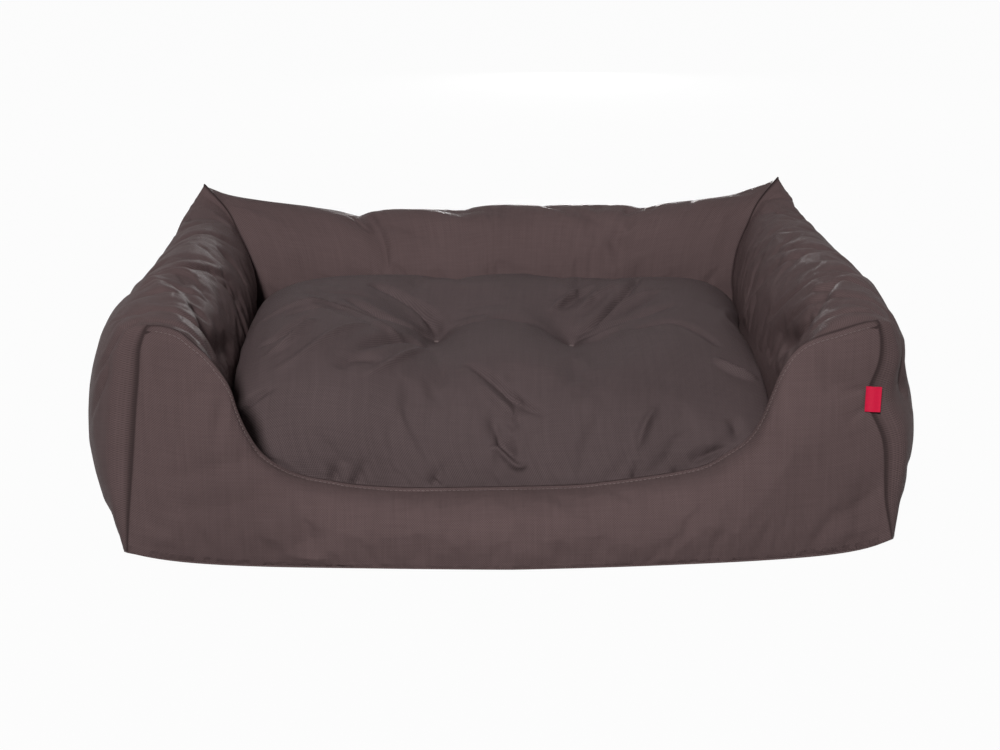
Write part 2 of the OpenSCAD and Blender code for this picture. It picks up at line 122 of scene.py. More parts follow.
class SofaBedLabel(bpy.types.PropertyGroup):
    """Sizes of the folded ribbon in the right front seam."""
    width: length("Width", "Distance that the ribbon stands out of the seam", 0.0145)
    height: length("Height", "Height of the ribbon", 0.024)
    level: length("Level", "Height of its middle above the floor", 0.152)
    pull: length("Pull", "How far its stitches draw the seam inwards", 0.016)


class SofaBedFinish(bpy.types.PropertyGroup):
    """Colours and weave of the cloth."""
    wall: colour("Walls", "Colour of the walls' cloth", (0.084, 0.057, 0.057))
    cushion: colour("Cushion", "Colour of the cushion's cloth", (0.070, 0.051, 0.052))
    thread: colour("Thread", "Colour of the sewing thread", (0.105, 0.074, 0.072))
    fibre: colour("Fibre", "Colour of the filling", (0.85, 0.84, 0.80))
    label: colour("Label", "Colour of the ribbon", (0.46, 0.006, 0.036))
    weave: length("Weave", "Width of one thread of the weave", 0.00112)
    sheen: share("Sheen", "Strength of the cloth's sheen", 0.0)


class SofaBed(bpy.types.PropertyGroup):
    """Everything that can be set on the bed."""
    walls: PointerProperty(type=SofaBedWalls)
    front: PointerProperty(type=SofaBedFront)
    cushion: PointerProperty(type=SofaBedCushion)
    label: PointerProperty(type=SofaBedLabel)
    finish: PointerProperty(type=SofaBedFinish)


# Lines and nets of points, in metres

def blend(a, b, share_of_b):
    return a + (b - a) * share_of_b


def smooth(value):
    held = np.clip(value, 0.0, 1.0)
    return held * held * (3 - 2 * held)


def power(value, exponent):
    return np.sign(value) * np.abs(value) ** exponent


def bump(distance, reach):
    return np.exp(-(distance / reach) ** 2)


def smooth_line(points, between=8):
    """A smooth line through the points."""
    p = np.array(points, float)
    ends = np.vstack([2 * p[0] - p[1], p, 2 * p[-1] - p[-2]])
    t = np.linspace(0, 1, between, endpoint=False)[:, None]
    parts = [
        (2 * b + (c - a) * t + (2 * a - 5 * b + 4 * c - d) * t ** 2
         + (3 * b - a - 3 * c + d) * t ** 3) / 2
        for a, b, c, d in zip(ends, ends[1:], ends[2:], ends[3:])
    ]
    return np.vstack(parts + [p[-1:]])


def runs(line):
    """The distance along a line at each of its points."""
    steps = np.linalg.norm(np.diff(line, axis=0), axis=1)
    return np.concatenate([[0.0], np.cumsum(steps)])


def evened(line, count):
    """The same line as count points at even distances."""
    run = runs(line)
    at = np.linspace(0, run[-1], count)
    return np.stack([np.interp(at, run, axis) for axis in line.T], axis=1)


def evened_values(values, line, count):
    """The values at count even distances along a line."""
    run = runs(line)
    return np.interp(np.linspace(0, run[-1], count), run, values)


def straight(start, end, count):
    return np.linspace(start, end, count)


# The edge of the front's notch from each corner's point to the middle: distance
# from the bed's middle plane, and height. The turn is where the arm's inner side
# parts from it.
NOTCH = {
    -1: ((0.330, 0.232), (0.316, 0.231), (0.301, 0.226), (0.289, 0.215), (0.278, 0.203),
         (0.267, 0.188), (0.258, 0.171), (0.253, 0.152), (0.245, 0.130), (0.233, 0.108),
         (0.213, 0.089), (0.192, 0.077), (0.167, 0.070), (0.135, 0.065), (0.080, 0.062)),
    1: ((0.335, 0.227), (0.320, 0.224), (0.299, 0.217), (0.275, 0.209), (0.259, 0.197),
        (0.248, 0.178), (0.241, 0.158), (0.232, 0.132), (0.221, 0.112), (0.205, 0.097),
        (0.184, 0.081), (0.158, 0.074), (0.125, 0.069), (0.090, 0.065), (0.050, 0.062)),
}
TURN = 7
# How far a front corner seam stands out of its straight line, at heights above the floor
SEAM_Z = (0.0, 0.045, 0.090, 0.155, 0.190, 0.210, 0.235)
SEAM_OUT = {-1: (0.001, 0.003, 0.004, 0.005, 0.005, 0.006, 0.0),
            1: (0.0, -0.002, 0.000, 0.002, 0.003, 0.003, 0.0)}
# How far each arm's inner side gives to the cushion near the front
GIVE = {-1: 0.015, 1: 0.011}
# The back's ridge from left to right: distance along the bed, and height
RIDGE = ((-0.340, 0.259), (-0.305, 0.252), (-0.274, 0.247), (-0.224, 0.240), (-0.189, 0.232),
         (-0.158, 0.224), (-0.140, 0.228), (-0.090, 0.229), (-0.044, 0.228), (0.005, 0.231),
         (0.079, 0.231), (0.150, 0.232), (0.180, 0.232), (0.214, 0.238), (0.255, 0.244),
         (0.290, 0.249), (0.340, 0.259))
# The inner rear seam: share of the corner's thickness, and height
MITRE_INNER = ((0.50, 0.231), (0.65, 0.209), (0.81, 0.183), (0.87, 0.162), (0.89, 0.141),
               (0.81, 0.116), (0.75, 0.092), (0.82, 0.045))
# Swells of the cushion's crown: height, then middle and reach from left to right and
# from front to back
CROWN_SWELLS = ((0.018, (-0.190, 0.110), (0.000, 0.150)),
                (0.008, (0.010, 0.060), (0.140, 0.070)),
                (-0.020, (-0.250, 0.060), (0.190, 0.080)))
# How far the pair of tufts is moved to the right and back, and where a pinch in the
# cushion's front slope lies
TUFT_SHIFT = (0.003, -0.0005)
PINCH = (0.005, -0.172)
# Reach of the cloth that a knot holds
TUFT_REACH = 0.0045
# Steps round a wall's section: up its outside, over its top and down its inside
OUTER, ARC, INNER = 24, 32, 16
STEPS = np.arange(OUTER + ARC + INNER + 1)
# Points up the outside of the front's section, and down its inside
RISING, FALLING = 46, 24
# Distances from a seam over which the settling of the cloth, and the folds that are
# pressed into it, come in
SETTLE_FADE, PRESS_FADE = 0.05, 0.009


class Plan:
    """Places that follow from the bed's sizes, and the nets that its cloth lies on."""

    def __init__(self, bed):
        self.walls, self.front = bed.walls, bed.front
        self.cushion, self.label = bed.cushion, bed.label
        w, f = bed.walls, bed.front
        self.half_w, self.half_d = w.width / 2, w.depth / 2
        self.base = w.cloth
        self.front_y = f.bow - self.half_d
        self.foot_x = self.half_w - f.seam_inset
        self.end_x = self.foot_x - f.end_thickness
        self.mitre_x = self.half_w - w.mitre_inset
        self.mitre_y = self.half_d - w.back_bow
        self.entry_back = f.entry_thickness - self.half_d

    def seam_out(self, side, z):
        """How far a front corner seam stands out of its straight line."""
        return np.interp(z, SEAM_Z, SEAM_OUT[side])

    def end_section(self, side):
        """The sewn front end of an arm, from outer foot over its point to inner foot."""
        notch = smooth_line(NOTCH[side][:TURN + 1])
        outer = straight((self.foot_x, self.base), notch[0], OUTER + 1)
        outer[:, 0] += self.seam_out(side, outer[:, 1])
        inner = straight(notch[-1], (self.end_x, self.base), INNER + 1)
        return np.vstack([outer, evened(notch, ARC + 1)[1:], inner[1:]])

    def mitre_section(self, foot):
        """The sewn rear end of an arm or an end of the back."""
        w = self.walls
        crown = foot - w.mitre_lean
        outer = straight((foot, self.base), (crown, w.corner_height), OUTER + 1)
        inner = smooth_line([(crown, w.corner_height)]
                            + [(foot - w.mitre_thickness * k, z) for k, z in MITRE_INNER]
                            + [(foot - w.mitre_thickness, self.base)])
        return np.vstack([outer, evened(inner, ARC + INNER + 1)[1:]])

    def full_section(self, centre, half, height, shoulder=2.3, low=2.5):
        """The stuffed middle of a wall, round like a pillow with a flat foot."""
        w = self.walls
        deep = w.belly_height + w.foot_tuck

        def foot_angle(round_):
            return math.degrees(math.asin(((w.belly_height - self.base) / deep) ** (round_ / 2)))

        a = np.interp(STEPS, (0, OUTER, OUTER + ARC, OUTER + ARC + INNER),
                      (-foot_angle(low), 55, 180, 180 + foot_angle(4)))
        round_ = np.where(a > 180, 4.0, np.where(a < 0, low, shoulder))
        reach = np.where((a > 180) | (a < 0), deep, height - w.belly_height)
        a = np.radians(a)
        return np.stack([centre + half * power(np.cos(a), 2 / round_),
                         w.belly_height + reach * power(np.sin(a), 2 / round_)], axis=1)

    def settle(self, points):
        """Small moves of the sewn corners: up at their feet, and in round the label."""
        p = np.array(points, float)
        plan_gap = np.hypot(np.abs(p[:, 0]) - self.foot_x, p[:, 1] - self.front_y)
        low = np.clip(1 - p[:, 2] / 0.09, 0, 1)
        reach = np.where(p[:, 0] < 0, 0.045, 0.028)
        p[:, 2] += self.front.corner_lift * np.exp(-plan_gap / reach) * low
        side = smooth((p[:, 0] - self.end_x) / 0.078)
        pull = bump(p[:, 2] - self.label.level, 0.028) * self.label.pull
        pull += bump(p[:, 2] - 0.060, 0.040) * 0.002
        p[:, 0] -= pull * side * np.exp(-np.abs(p[:, 1] - self.front_y) / 0.060)
        return p

    def arm_row(self, side, along):
        """Points across an arm at a share of its length from the front."""
        w = self.walls
        seam = blend(self.end_section(side), self.mitre_section(self.mitre_x), along)
        start, swell, drawn = (2.3, 0.014, 0.006) if side < 0 else (1.9, 0.0, 0.010)
        full = self.full_section(self.half_w - w.arm_thickness / 2, w.arm_thickness / 2,
                                 w.arm_height, blend(start, 1.9, smooth((along - 0.12) / 0.40)), 1.8)
        outward = np.clip((full[:, 0] - self.half_w + 0.07) / 0.07, 0, 1)
        inward = smooth((self.half_w - 0.085 - full[:, 0]) / 0.05) * smooth((full[:, 1] - 0.05) / 0.05)
        full[:, 0] += inward * GIVE[side] * bump(along - 0.20, 0.22)
        full[:, 0] += outward * (swell * bump(along - 0.14, 0.13) - drawn * smooth(along * 1.6 - 0.4))
        stuffed = math.sin(math.pi * along ** 0.74) ** 0.40 if 0 < along < 1 else 0.0
        p = blend(seam, full, stuffed)
        back = p[:, 0] - self.mitre_x + self.mitre_y
        points = np.stack([side * p[:, 0], blend(self.front_y, back, along), p[:, 1]], axis=1)
        return self.settle(points)

    def back_row(self, along):
        """Points across the back at a share of its length from the left."""
        w = self.walls
        full = self.full_section(self.half_d - w.back_thickness / 2, w.back_thickness / 2,
                                 w.back_height)
        stuffed = math.sqrt(math.sin(math.pi * along)) if 0 < along < 1 else 0.0
        p = blend(self.mitre_section(self.mitre_y), full, stuffed)
        reach = self.mitre_x - self.mitre_y
        across = (2 * along - 1) * (p[:, 0] + reach)
        crown = (2 * along - 1) * (self.mitre_x - w.mitre_lean)
        ridge = np.interp(crown, *np.array(smooth_line(RIDGE)).T)
        plain = blend(w.corner_height, w.back_height, stuffed)
        rise = (ridge - w.belly_height) / (plain - w.belly_height)
        z = np.where(p[:, 1] > w.belly_height,
                     w.belly_height + (p[:, 1] - w.belly_height) * rise, p[:, 1])
        return np.stack([across, p[:, 0], z], axis=1)

    def notch_line(self):
        """The whole edge of the front's notch, from the left point to the right."""
        left = [(-x, z) for x, z in NOTCH[-1]]
        right = [(x, z) for x, z in reversed(NOTCH[1])]
        return smooth_line(left + right)

    def front_column(self, edge, along):
        """The front's section below a point of its edge: its outside, then its inside."""
        f = self.front
        x, top = edge
        level, steep = f.entry_width / 2, self.end_x
        setback = f.lip_setback * (1 - smooth((abs(x) - level) / (steep - level)))
        edge_y = self.front_y + setback
        foot = blend(-self.foot_x, self.foot_x, along)
        reach = f.bow * (1 - abs(foot / self.foot_x) ** (1.15 if foot < 0 else 2.1)) + setback
        puff = 0.010 * smooth((abs(x) - 0.20) / 0.08) * (1 - abs(2 * along - 1) ** (12 if x < 0 else 4))
        a = np.radians(np.linspace(0, 90, RISING))
        lift = (top - self.base) * np.sin(a) ** (2 / 3)
        tuck = 1 - 0.03 * np.clip(1 - lift / 0.024, 0, 1) ** 2
        out = reach * power(np.cos(a), 2 / 3) * tuck
        out += puff * np.clip(np.sin(np.pi * lift / (top - self.base)), 0, 1) ** 0.8
        side_x = blend(foot, x, lift / (top - self.base))
        side = 1 if along > 0.5 else -1
        near_seam = smooth(abs(2 * along - 1) * 6 - 5)
        side_x += side * near_seam * self.seam_out(side, self.base + lift)
        outside = np.stack([side_x, edge_y - out, self.base + lift], axis=1)
        down = np.radians(np.linspace(90, 0, FALLING))
        if abs(x) < abs(NOTCH[1 if x > 0 else -1][TURN][0]) and top < 0.15:
            inner_x = np.clip(x, 0.003 - self.end_x, self.end_x - 0.003)
            reach = self.entry_back - edge_y
            inside = np.stack([np.full(FALLING, inner_x),
                               edge_y + reach * power(np.cos(down), 1.3),
                               self.base + (top - self.base) * power(np.sin(down), 1.3)], axis=1)
        else:
            hidden = self.front_y + 0.002
            inside = straight((x, hidden, top), (foot, hidden, self.base), FALLING)
            inside[:, 0] += side * near_seam * (self.seam_out(side, inside[:, 2]) - 0.003)
            inside = self.settle(inside)
            inside[0, 1] = edge_y
        return self.settle(outside), inside

    # Cushion

    def cushion_place(self, across, along):
        """A place on the cushion's plan; across and along run from -1 to 1."""
        c = self.cushion
        front_y, back_y = self.entry_back + c.gap, self.half_d - self.walls.back_thickness - 2 * c.gap
        half_d, middle = (back_y - front_y) / 2, (back_y + front_y) / 2
        front_half = min(self.end_x, self.half_w - self.walls.arm_thickness) - c.gap
        back_half = self.mitre_x - self.walls.mitre_thickness - 2 * c.gap
        half = blend(front_half, back_half, (along + 1) / 2) - c.draw * (1 - along ** 2)
        round_ = 1 - 0.035 * np.abs(across * along) ** 8
        x = across * half * round_
        y = middle + along * (half_d - c.draw * (1 - across ** 2)) * round_
        narrow = 0.012 * smooth((across - 0.6) / 0.4) * smooth((-0.72 - along) / 0.25)
        return x - narrow, y

    def tuft(self, side):
        """The place of the tuft on one side, on the cushion's plan."""
        return side * self.cushion.tuft_gap / 2 + TUFT_SHIFT[0], TUFT_SHIFT[1]

    def cushion_seam(self, along):
        """The height of the cushion's edge seam, lowest at the front."""
        c = self.cushion
        return blend(c.front_seam_height, c.seam_height, smooth((along + 0.9) / 0.9))

    def cushion_top(self, across, along):
        """The cushion's top before its tufts are drawn down."""
        c = self.cushion
        x, y = self.cushion_place(across, along)
        seam = self.cushion_seam(along)
        left = smooth((-0.06 - x) / 0.14)
        end = np.where(along < 0, 2.2 + 1.2 * left, 8.0)
        full = np.where(along < 0, 0.60 - 0.12 * left, 0.40)
        rise = (1 - np.abs(across) ** 13) ** 0.44 * (1 - np.abs(along) ** end) ** full
        crown = c.height
        for height, (middle_x, reach_x), (middle_y, reach_y) in CROWN_SWELLS:
            crown = crown + height * bump(x - middle_x, reach_x) * bump(y - middle_y, reach_y)
        crown = crown - 0.036 * smooth((x - 0.040) / 0.210) * smooth((0.140 - y) / 0.300)
        z = seam + rise * (crown - seam)
        wide = np.where(across < 0, 0.030, 0.027)
        bulge = power(np.sin(np.pi * np.clip(rise, 0, 1) ** 1.4), 0.7)
        swell = blend(0.020, wide, smooth(0.4 - along)) * power(across, 5) * bulge
        return x + swell, y, z


# Making pieces

def lay_grid(form, net, marks, creased=()):
    """Adds a grid to a form and lays it on a net of points. Its border and the creased
    columns stay sharp, and each mark is kept at the points as an attribute."""
    rows, cols = net.shape[0] - 1, net.shape[1] - 1
    made = bmesh.ops.create_grid(form, x_segments=cols, y_segments=rows, size=0.5)["verts"]
    crease = form.edges.layers.float.get("crease_edge") or form.edges.layers.float.new("crease_edge")
    kinds = {name: form.verts.layers.float_vector if marks[name].ndim == 3
             else form.verts.layers.float for name in marks}
    layers = {name: kinds[name].get(name) or kinds[name].new(name) for name in marks}
    columns = {}
    made = [v for v in form.verts if v.is_valid][-(rows + 1) * (cols + 1):]
    for v in made:
        r, c = round((v.co.y + 0.5) * rows), round((v.co.x + 0.5) * cols)
        columns[v] = c
        v.co = net[r, c]
        for name, layer in layers.items():
            v[layer] = marks[name][r, c]
    for edge in {e for v in made for e in v.link_edges}:
        a, b = (columns[v] for v in edge.verts)
        if edge.is_boundary or (a == b and a in creased):
            edge[crease] = 1.0
            edge.smooth = False


def closed(form):
    """Joins a form's touching borders, fills its open ends and turns it outwards."""
    bmesh.ops.remove_doubles(form, verts=form.verts, dist=2e-5)
    ends = bmesh.ops.holes_fill(form, edges=[e for e in form.edges if e.is_boundary], sides=0)
    bmesh.ops.triangulate(form, faces=ends["faces"])
    bmesh.ops.recalc_face_normals(form, faces=form.faces)


def piece_from(form, name, flat=False):
    """A piece from a form, with smooth shading unless its faces are flat."""
    for face in form.faces:
        face.smooth = not flat
    mesh = bpy.data.meshes.new(name)
    form.to_mesh(mesh)
    form.free()
    piece = bpy.data.objects.new(name, mesh)
    bpy.context.scene.collection.objects.link(piece)
    return piece


def places(mesh):
    flat = np.empty(len(mesh.vertices) * 3)
    mesh.vertices.foreach_get("co", flat)
    return flat.reshape(-1, 3)


def put(mesh, points):
    mesh.vertices.foreach_set("co", np.ascontiguousarray(points).ravel())
    mesh.update()


def directions(mesh):
    flat = np.empty(len(mesh.vertices) * 3)
    mesh.vertices.foreach_get("normal", flat)
    return flat.reshape(-1, 3)


def mark(mesh, name):
    data = mesh.attributes[name].data
    if mesh.attributes[name].data_type == "FLOAT":
        values = np.empty(len(data))
        data.foreach_get("value", values)
        return values
    values = np.empty(len(data) * 3)
    data.foreach_get("vector", values)
    return values.reshape(-1, 3)


def evened_out(mesh, values, rounds):
    """Values at a mesh's points, averaged with their neighbours' over and over."""
    edges = np.empty(len(mesh.edges) * 2, int)
    mesh.edges.foreach_get("vertices", edges)
    a, b = edges.reshape(-1, 2).T
    count = len(mesh.vertices)
    ties = np.bincount(a, minlength=count) + np.bincount(b, minlength=count)
    for _ in range(rounds):
        total = [np.bincount(a, values[b, k], count) + np.bincount(b, values[a, k], count)
                 for k in range(values.shape[1])]
        values = (values + np.stack(total, axis=1) / ties[:, None]) / 2
    return values


def let_settle(piece, push, slack, most, swell=0.0, creases=1.1, frames=20):
    """Lets the cloth of a stuffed piece give to its filling while its seams are held.
    Of the move, the swell is the share of its broad part that stays, and the creases
    are the share of its folds. It fades out towards the seams."""
    start = places(piece.data)
    sewn = piece.vertex_groups.new(name="sewn")
    for index, held in enumerate(mark(piece.data, "held")):
        if held > 0:
            sewn.add([index], float(held), "REPLACE")
    cloth = piece.modifiers.new("Cloth", "CLOTH")
    cloth.settings.vertex_group_mass = "sewn"
    cloth.settings.quality = 5
    cloth.settings.mass = 0.3
    cloth.settings.tension_stiffness = 20
    cloth.settings.compression_stiffness = 20
    cloth.settings.shear_stiffness = 8
    cloth.settings.bending_stiffness = 0.3
    cloth.settings.use_pressure = True
    cloth.settings.uniform_pressure_force = push
    cloth.settings.shrink_min = -slack
    cloth.settings.effector_weights.gravity = 0
    cloth.collision_settings.use_collision = False
    cloth.collision_settings.use_self_collision = False
    scene = bpy.context.scene
    for number in range(1, frames + 1):
        scene.frame_set(number)
    graph = bpy.context.evaluated_depsgraph_get()
    move = places(piece.evaluated_get(graph).data) - start
    piece.modifiers.remove(cloth)
    piece.vertex_groups.remove(sewn)
    scene.frame_set(1)
    broad = evened_out(piece.data, move, 60)
    move = broad * swell + (move - broad) * creases
    move *= smooth(mark(piece.data, "seam") / SETTLE_FADE)[:, None]
    far = np.linalg.norm(move, axis=1, keepdims=True)
    put(piece.data, start + move * np.minimum(1, most / np.maximum(far, 1e-9)))


def stuff(cover, coarse, name, node, body, bed, within=None, smaller=0.010):
    """The loose fibre inside a cover, from its coarse mesh, a little smaller all round
    and cut off past a distance from the middle."""
    fluff = bpy.data.objects.new(name, coarse)
    bpy.context.scene.collection.objects.link(fluff)
    put(coarse, places(coarse) - directions(coarse) * smaller)
    for gap in (0.002, 0.0008, 0.0003):
        keep_inside(fluff, cover, gap)
    if within:
        form = bmesh.new()
        form.from_mesh(coarse)
        for side in (-1, 1):
            cut = bmesh.ops.bisect_plane(form, geom=form.verts[:] + form.edges[:] + form.faces[:],
                                         plane_co=(side * within, 0, 0), plane_no=(side, 0, 0),
                                         clear_outer=True)["geom_cut"]
            bmesh.ops.holes_fill(form, edges=[e for e in cut if isinstance(e, bmesh.types.BMEdge)])
        form.to_mesh(coarse)
        form.free()
    set_finish(fluff, fibre(bed.finish.fibre))
    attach(fluff, body)
    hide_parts(node)


def keep_inside(piece, cover, gap):
    """Moves a piece's points to at least a gap inside the piece round it."""
    points = places(piece.data)
    tree = BVHTree.FromObject(cover, bpy.context.evaluated_depsgraph_get())
    for index, point in enumerate(points):
        place, normal, _, _ = tree.find_nearest(Vector(point))
        if (place - Vector(point)).dot(normal) < gap:
            points[index] = place - normal * gap
    put(piece.data, points)


def refined(piece):
    """Rounds a piece off with one step of subdivision, and gives back its coarse mesh."""
    finer = piece.modifiers.new("Finer", "SUBSURF")
    finer.levels = finer.render_levels = 1
    finer.boundary_smooth = "PRESERVE_CORNERS"
    graph = bpy.context.evaluated_depsgraph_get()
    mesh = bpy.data.meshes.new_from_object(piece.evaluated_get(graph), depsgraph=graph)
    piece.modifiers.remove(finer)
    coarse, piece.data = piece.data, mesh
    return coarse


def press(piece, folds, cloth=None, deep=1.0):
    """Presses folds into a piece, but not into its seams. A fold is the places on the cloth
    that it runs through, its width, its depth, and how it fades: 0 at both ends, 1 or more
    towards its end."""
    cloth = mark(piece.data, "cloth")[:, :2] if cloth is None else cloth
    shift = np.zeros(len(cloth))
    for through, width, depth, fade in folds:
        line = smooth_line(through, 5)
        near = np.flatnonzero(np.all((cloth > line.min(0) - 3 * width)
                                     & (cloth < line.max(0) + 3 * width), axis=1))
        best = np.full(len(near), 1e9)
        at = np.zeros(len(near))
        for k in range(len(line) - 1):
            along = line[k + 1] - line[k]
            s = np.clip((cloth[near] - line[k]) @ along / (along @ along), 0, 1)
            gap = np.linalg.norm(cloth[near] - line[k] - s[:, None] * along, axis=1)
            closer = gap < best
            best[closer], at[closer] = gap[closer], (k + s[closer]) / (len(line) - 1)
        taper = power(1 - at, fade) if fade else power(np.sin(np.pi * at), 0.7)
        r = (best / width) ** 1.5
        shift[near] -= depth * taper * (1 - 0.8 * r) * np.exp(-r)
    shift *= deep * smooth(mark(piece.data, "seam") / PRESS_FADE)
    put(piece.data, places(piece.data) + directions(piece.data) * shift[:, None])


def scattered(seed, count, first, second, reach, lean, width, depth):
    """Soft folds strewn over a patch of cloth, all leaning the same way."""
    dice = random.Random(seed)
    folds = []
    for _ in range(count):
        a, b = dice.uniform(*first), dice.uniform(*second)
        half, wide = dice.uniform(*reach) / 2, dice.uniform(*width)
        turn = lean + dice.uniform(-0.3, 0.3)
        da, db = half * math.sin(turn), half * math.cos(turn)
        sag = dice.uniform(-0.2, 0.2) * half
        folds.append((((a - da, b - db), (a + sag, b), (a + da, b + db)), wide,
                      depth * dice.uniform(-0.6, 1.2), 0))
    return folds


def set_finish(piece, material):
    piece.data.materials.clear()
    piece.data.materials.append(material)


# Materials

class Wire:
    """A value on its way through a material's nodes."""

    def __init__(self, maker, socket):
        self.maker, self.socket = maker, socket

    def math(self, operation, *values):
        return self.maker.add("ShaderNodeMath", {"operation": operation}, dict(enumerate(values)))

    def __add__(self, other):
        return self.math("ADD", self, other)

    __radd__ = __add__

    def __sub__(self, other):
        return self.math("SUBTRACT", self, other)

    def __rsub__(self, other):
        return self.math("SUBTRACT", other, self)

    def __mul__(self, other):
        return self.math("MULTIPLY", self, other)

    __rmul__ = __mul__

    def __truediv__(self, other):
        return self.math("DIVIDE", self, other)

    def __rtruediv__(self, other):
        return self.math("DIVIDE", other, self)

    def __abs__(self):
        return self.math("ABSOLUTE", self)

    def sine(self):
        return self.math("SINE", self)

    def falloff(self, reach):
        """1 where the value is 0, falling to nothing past the reach."""
        scaled = self / reach
        return self.math("EXPONENT", 0 - scaled * scaled)


class Finish:
    """Makes one material, or the world, out of nodes."""

    def __init__(self, owner):
        owner.use_nodes = True
        self.owner, self.tree = owner, owner.node_tree
        self.tree.nodes.clear()

    def add(self, kind, settings=None, values=None, out=0):
        node = self.tree.nodes.new(kind)
        for name, setting in (settings or {}).items():
            setattr(node, name, setting)
        for name, value in (values or {}).items():
            if isinstance(value, Wire):
                self.tree.links.new(value.socket, node.inputs[name])
            else:
                node.inputs[name].default_value = value
        return Wire(self, node.outputs[out]) if node.outputs else None

    def mixed(self, factor, a, b):
        return self.add("ShaderNodeMix", {"data_type": "RGBA"}, {0: factor, 6: a, 7: b}, out=2)

    def surface(self, **values):
        named = {name.replace("_", " "): value for name, value in values.items()}
        shader = self.add("ShaderNodeBsdfPrincipled", values=named)
        self.add("ShaderNodeOutputMaterial", values={"Surface": shader})
        return self.owner


def rgba(colour_, level=1.0):
    return (*(min(1.0, c * level) for c in colour_), 1.0)


def woven(name, colour_, thread, sheen, seams=0.0):
    """Plain woven polyester: threads over and under, faint streaks, darker seams."""
    if name in bpy.data.materials:
        return bpy.data.materials[name]
    m = Finish(bpy.data.materials.new(name))
    cloth = m.add("ShaderNodeAttribute", {"attribute_name": "cloth"}, out=1)
    split = m.add("ShaderNodeSeparateXYZ", values={0: cloth})
    across, along = split, Wire(m, split.socket.node.outputs[1])
    warp, weft = (across * (math.pi / thread)).sine(), (along * (math.pi / thread)).sine()
    crossing = warp * weft
    raised = abs(crossing)
    streaks = [
        m.add("ShaderNodeTexNoise", {"noise_dimensions": "2D"},
              {"Vector": m.add("ShaderNodeVectorMath", {"operation": "MULTIPLY"},
                               {0: cloth, 1: scale}), "Scale": 1.0, "Detail": 1.0})
        for scale in ((520.0, 24.0, 0.0), (24.0, 520.0, 0.0), (170.0, 9.0, 0.0))
    ]
    broad = m.add("ShaderNodeTexNoise", {"noise_dimensions": "2D"},
                  {"Vector": cloth, "Scale": 9.0, "Detail": 3.0})
    yarn = (streaks[0] + streaks[1]) * 0.5 - 0.5
    level = crossing * 0.32 + yarn * 0.26 + (streaks[2] - 0.5) * 0.10 + (broad - 0.5) * 0.20 + 0.5
    base = m.mixed(level, rgba(colour_, 0.45), rgba(colour_, 1.55))
    if seams:
        seam = m.add("ShaderNodeAttribute", {"attribute_name": "seam"}, out=2)
        base = m.mixed(seam.falloff(0.0013) * seams, base, rgba(colour_, 0.25))
    height = raised * 0.8 + yarn * 0.5
    bumped = m.add("ShaderNodeBump", values={"Strength": 0.7, "Distance": 0.0005, "Height": height})
    tint = (1.0, 0.80, 0.79, 1.0)
    return m.surface(Base_Color=base, Roughness=0.56 - raised * 0.08, Normal=bumped,
                     Sheen_Weight=sheen, Sheen_Roughness=0.45, Sheen_Tint=tint,
                     Specular_IOR_Level=0.04, Specular_Tint=tint)


def fibre(colour_):
    """Loose polyester fibre."""
    if "loose_fibre" in bpy.data.materials:
        return bpy.data.materials["loose_fibre"]
    m = Finish(bpy.data.materials.new("loose_fibre"))
    place = m.add("ShaderNodeTexCoord", out=3)
    tufts = m.add("ShaderNodeTexNoise", values={"Vector": place, "Scale": 60.0, "Detail": 6.0,
                                                "Distortion": 1.4})
    base = m.mixed(tufts, rgba(colour_, 0.88), rgba(colour_, 1.08))
    bumped = m.add("ShaderNodeBump", values={"Strength": 0.6, "Distance": 0.002, "Height": tufts})
    return m.surface(Base_Color=base, Roughness=0.95, Normal=bumped, Sheen_Weight=0.4)


def ribbon(colour_):
    """Woven ribbon with fine ribs across its width."""
    m = Finish(bpy.data.materials.new("label_ribbon"))
    cloth = m.add("ShaderNodeAttribute", {"attribute_name": "cloth"}, out=1)
    split = m.add("ShaderNodeSeparateXYZ", values={0: cloth})
    along = Wire(m, split.socket.node.outputs[1])
    ribs = (along * (math.pi / 0.0006)).sine() * 0.5 + 0.5
    fine = m.add("ShaderNodeTexNoise", values={"Vector": cloth, "Scale": 900.0, "Detail": 2.0})
    base = m.mixed(ribs * 0.5 + fine * 0.5, rgba(colour_, 0.75), rgba(colour_, 1.2))
    bumped = m.add("ShaderNodeBump", values={"Strength": 0.5, "Distance": 0.0002, "Height": ribs})
    return m.surface(Base_Color=base, Roughness=0.5, Normal=bumped, Specular_IOR_Level=0.15)


def spun(colour_):
    """Sewing thread with its twist."""
    if "sewing_thread" in bpy.data.materials:
        return bpy.data.materials["sewing_thread"]
    m = Finish(bpy.data.materials.new("sewing_thread"))
    place = m.add("ShaderNodeTexCoord", out=3)
    twist = m.add("ShaderNodeTexWave", {"bands_direction": "DIAGONAL"},
                  {"Vector": place, "Scale": 500.0, "Distortion": 1.0})
    base = m.mixed(twist, rgba(colour_, 0.7), rgba(colour_, 1.2))
    bumped = m.add("ShaderNodeBump", values={"Strength": 0.5, "Distance": 0.0002, "Height": twist})
    return m.surface(Base_Color=base, Roughness=0.6, Normal=bumped)


# Operators

class SofaBedOperator:
    """What the operators share: each builds from the bed's settings and its plan."""
    bl_options = {"REGISTER", "UNDO"}

    def execute(self, context):
        bed = context.scene.sofa_bed
        self.build(bed, Plan(bed))
        return {"FINISHED"}


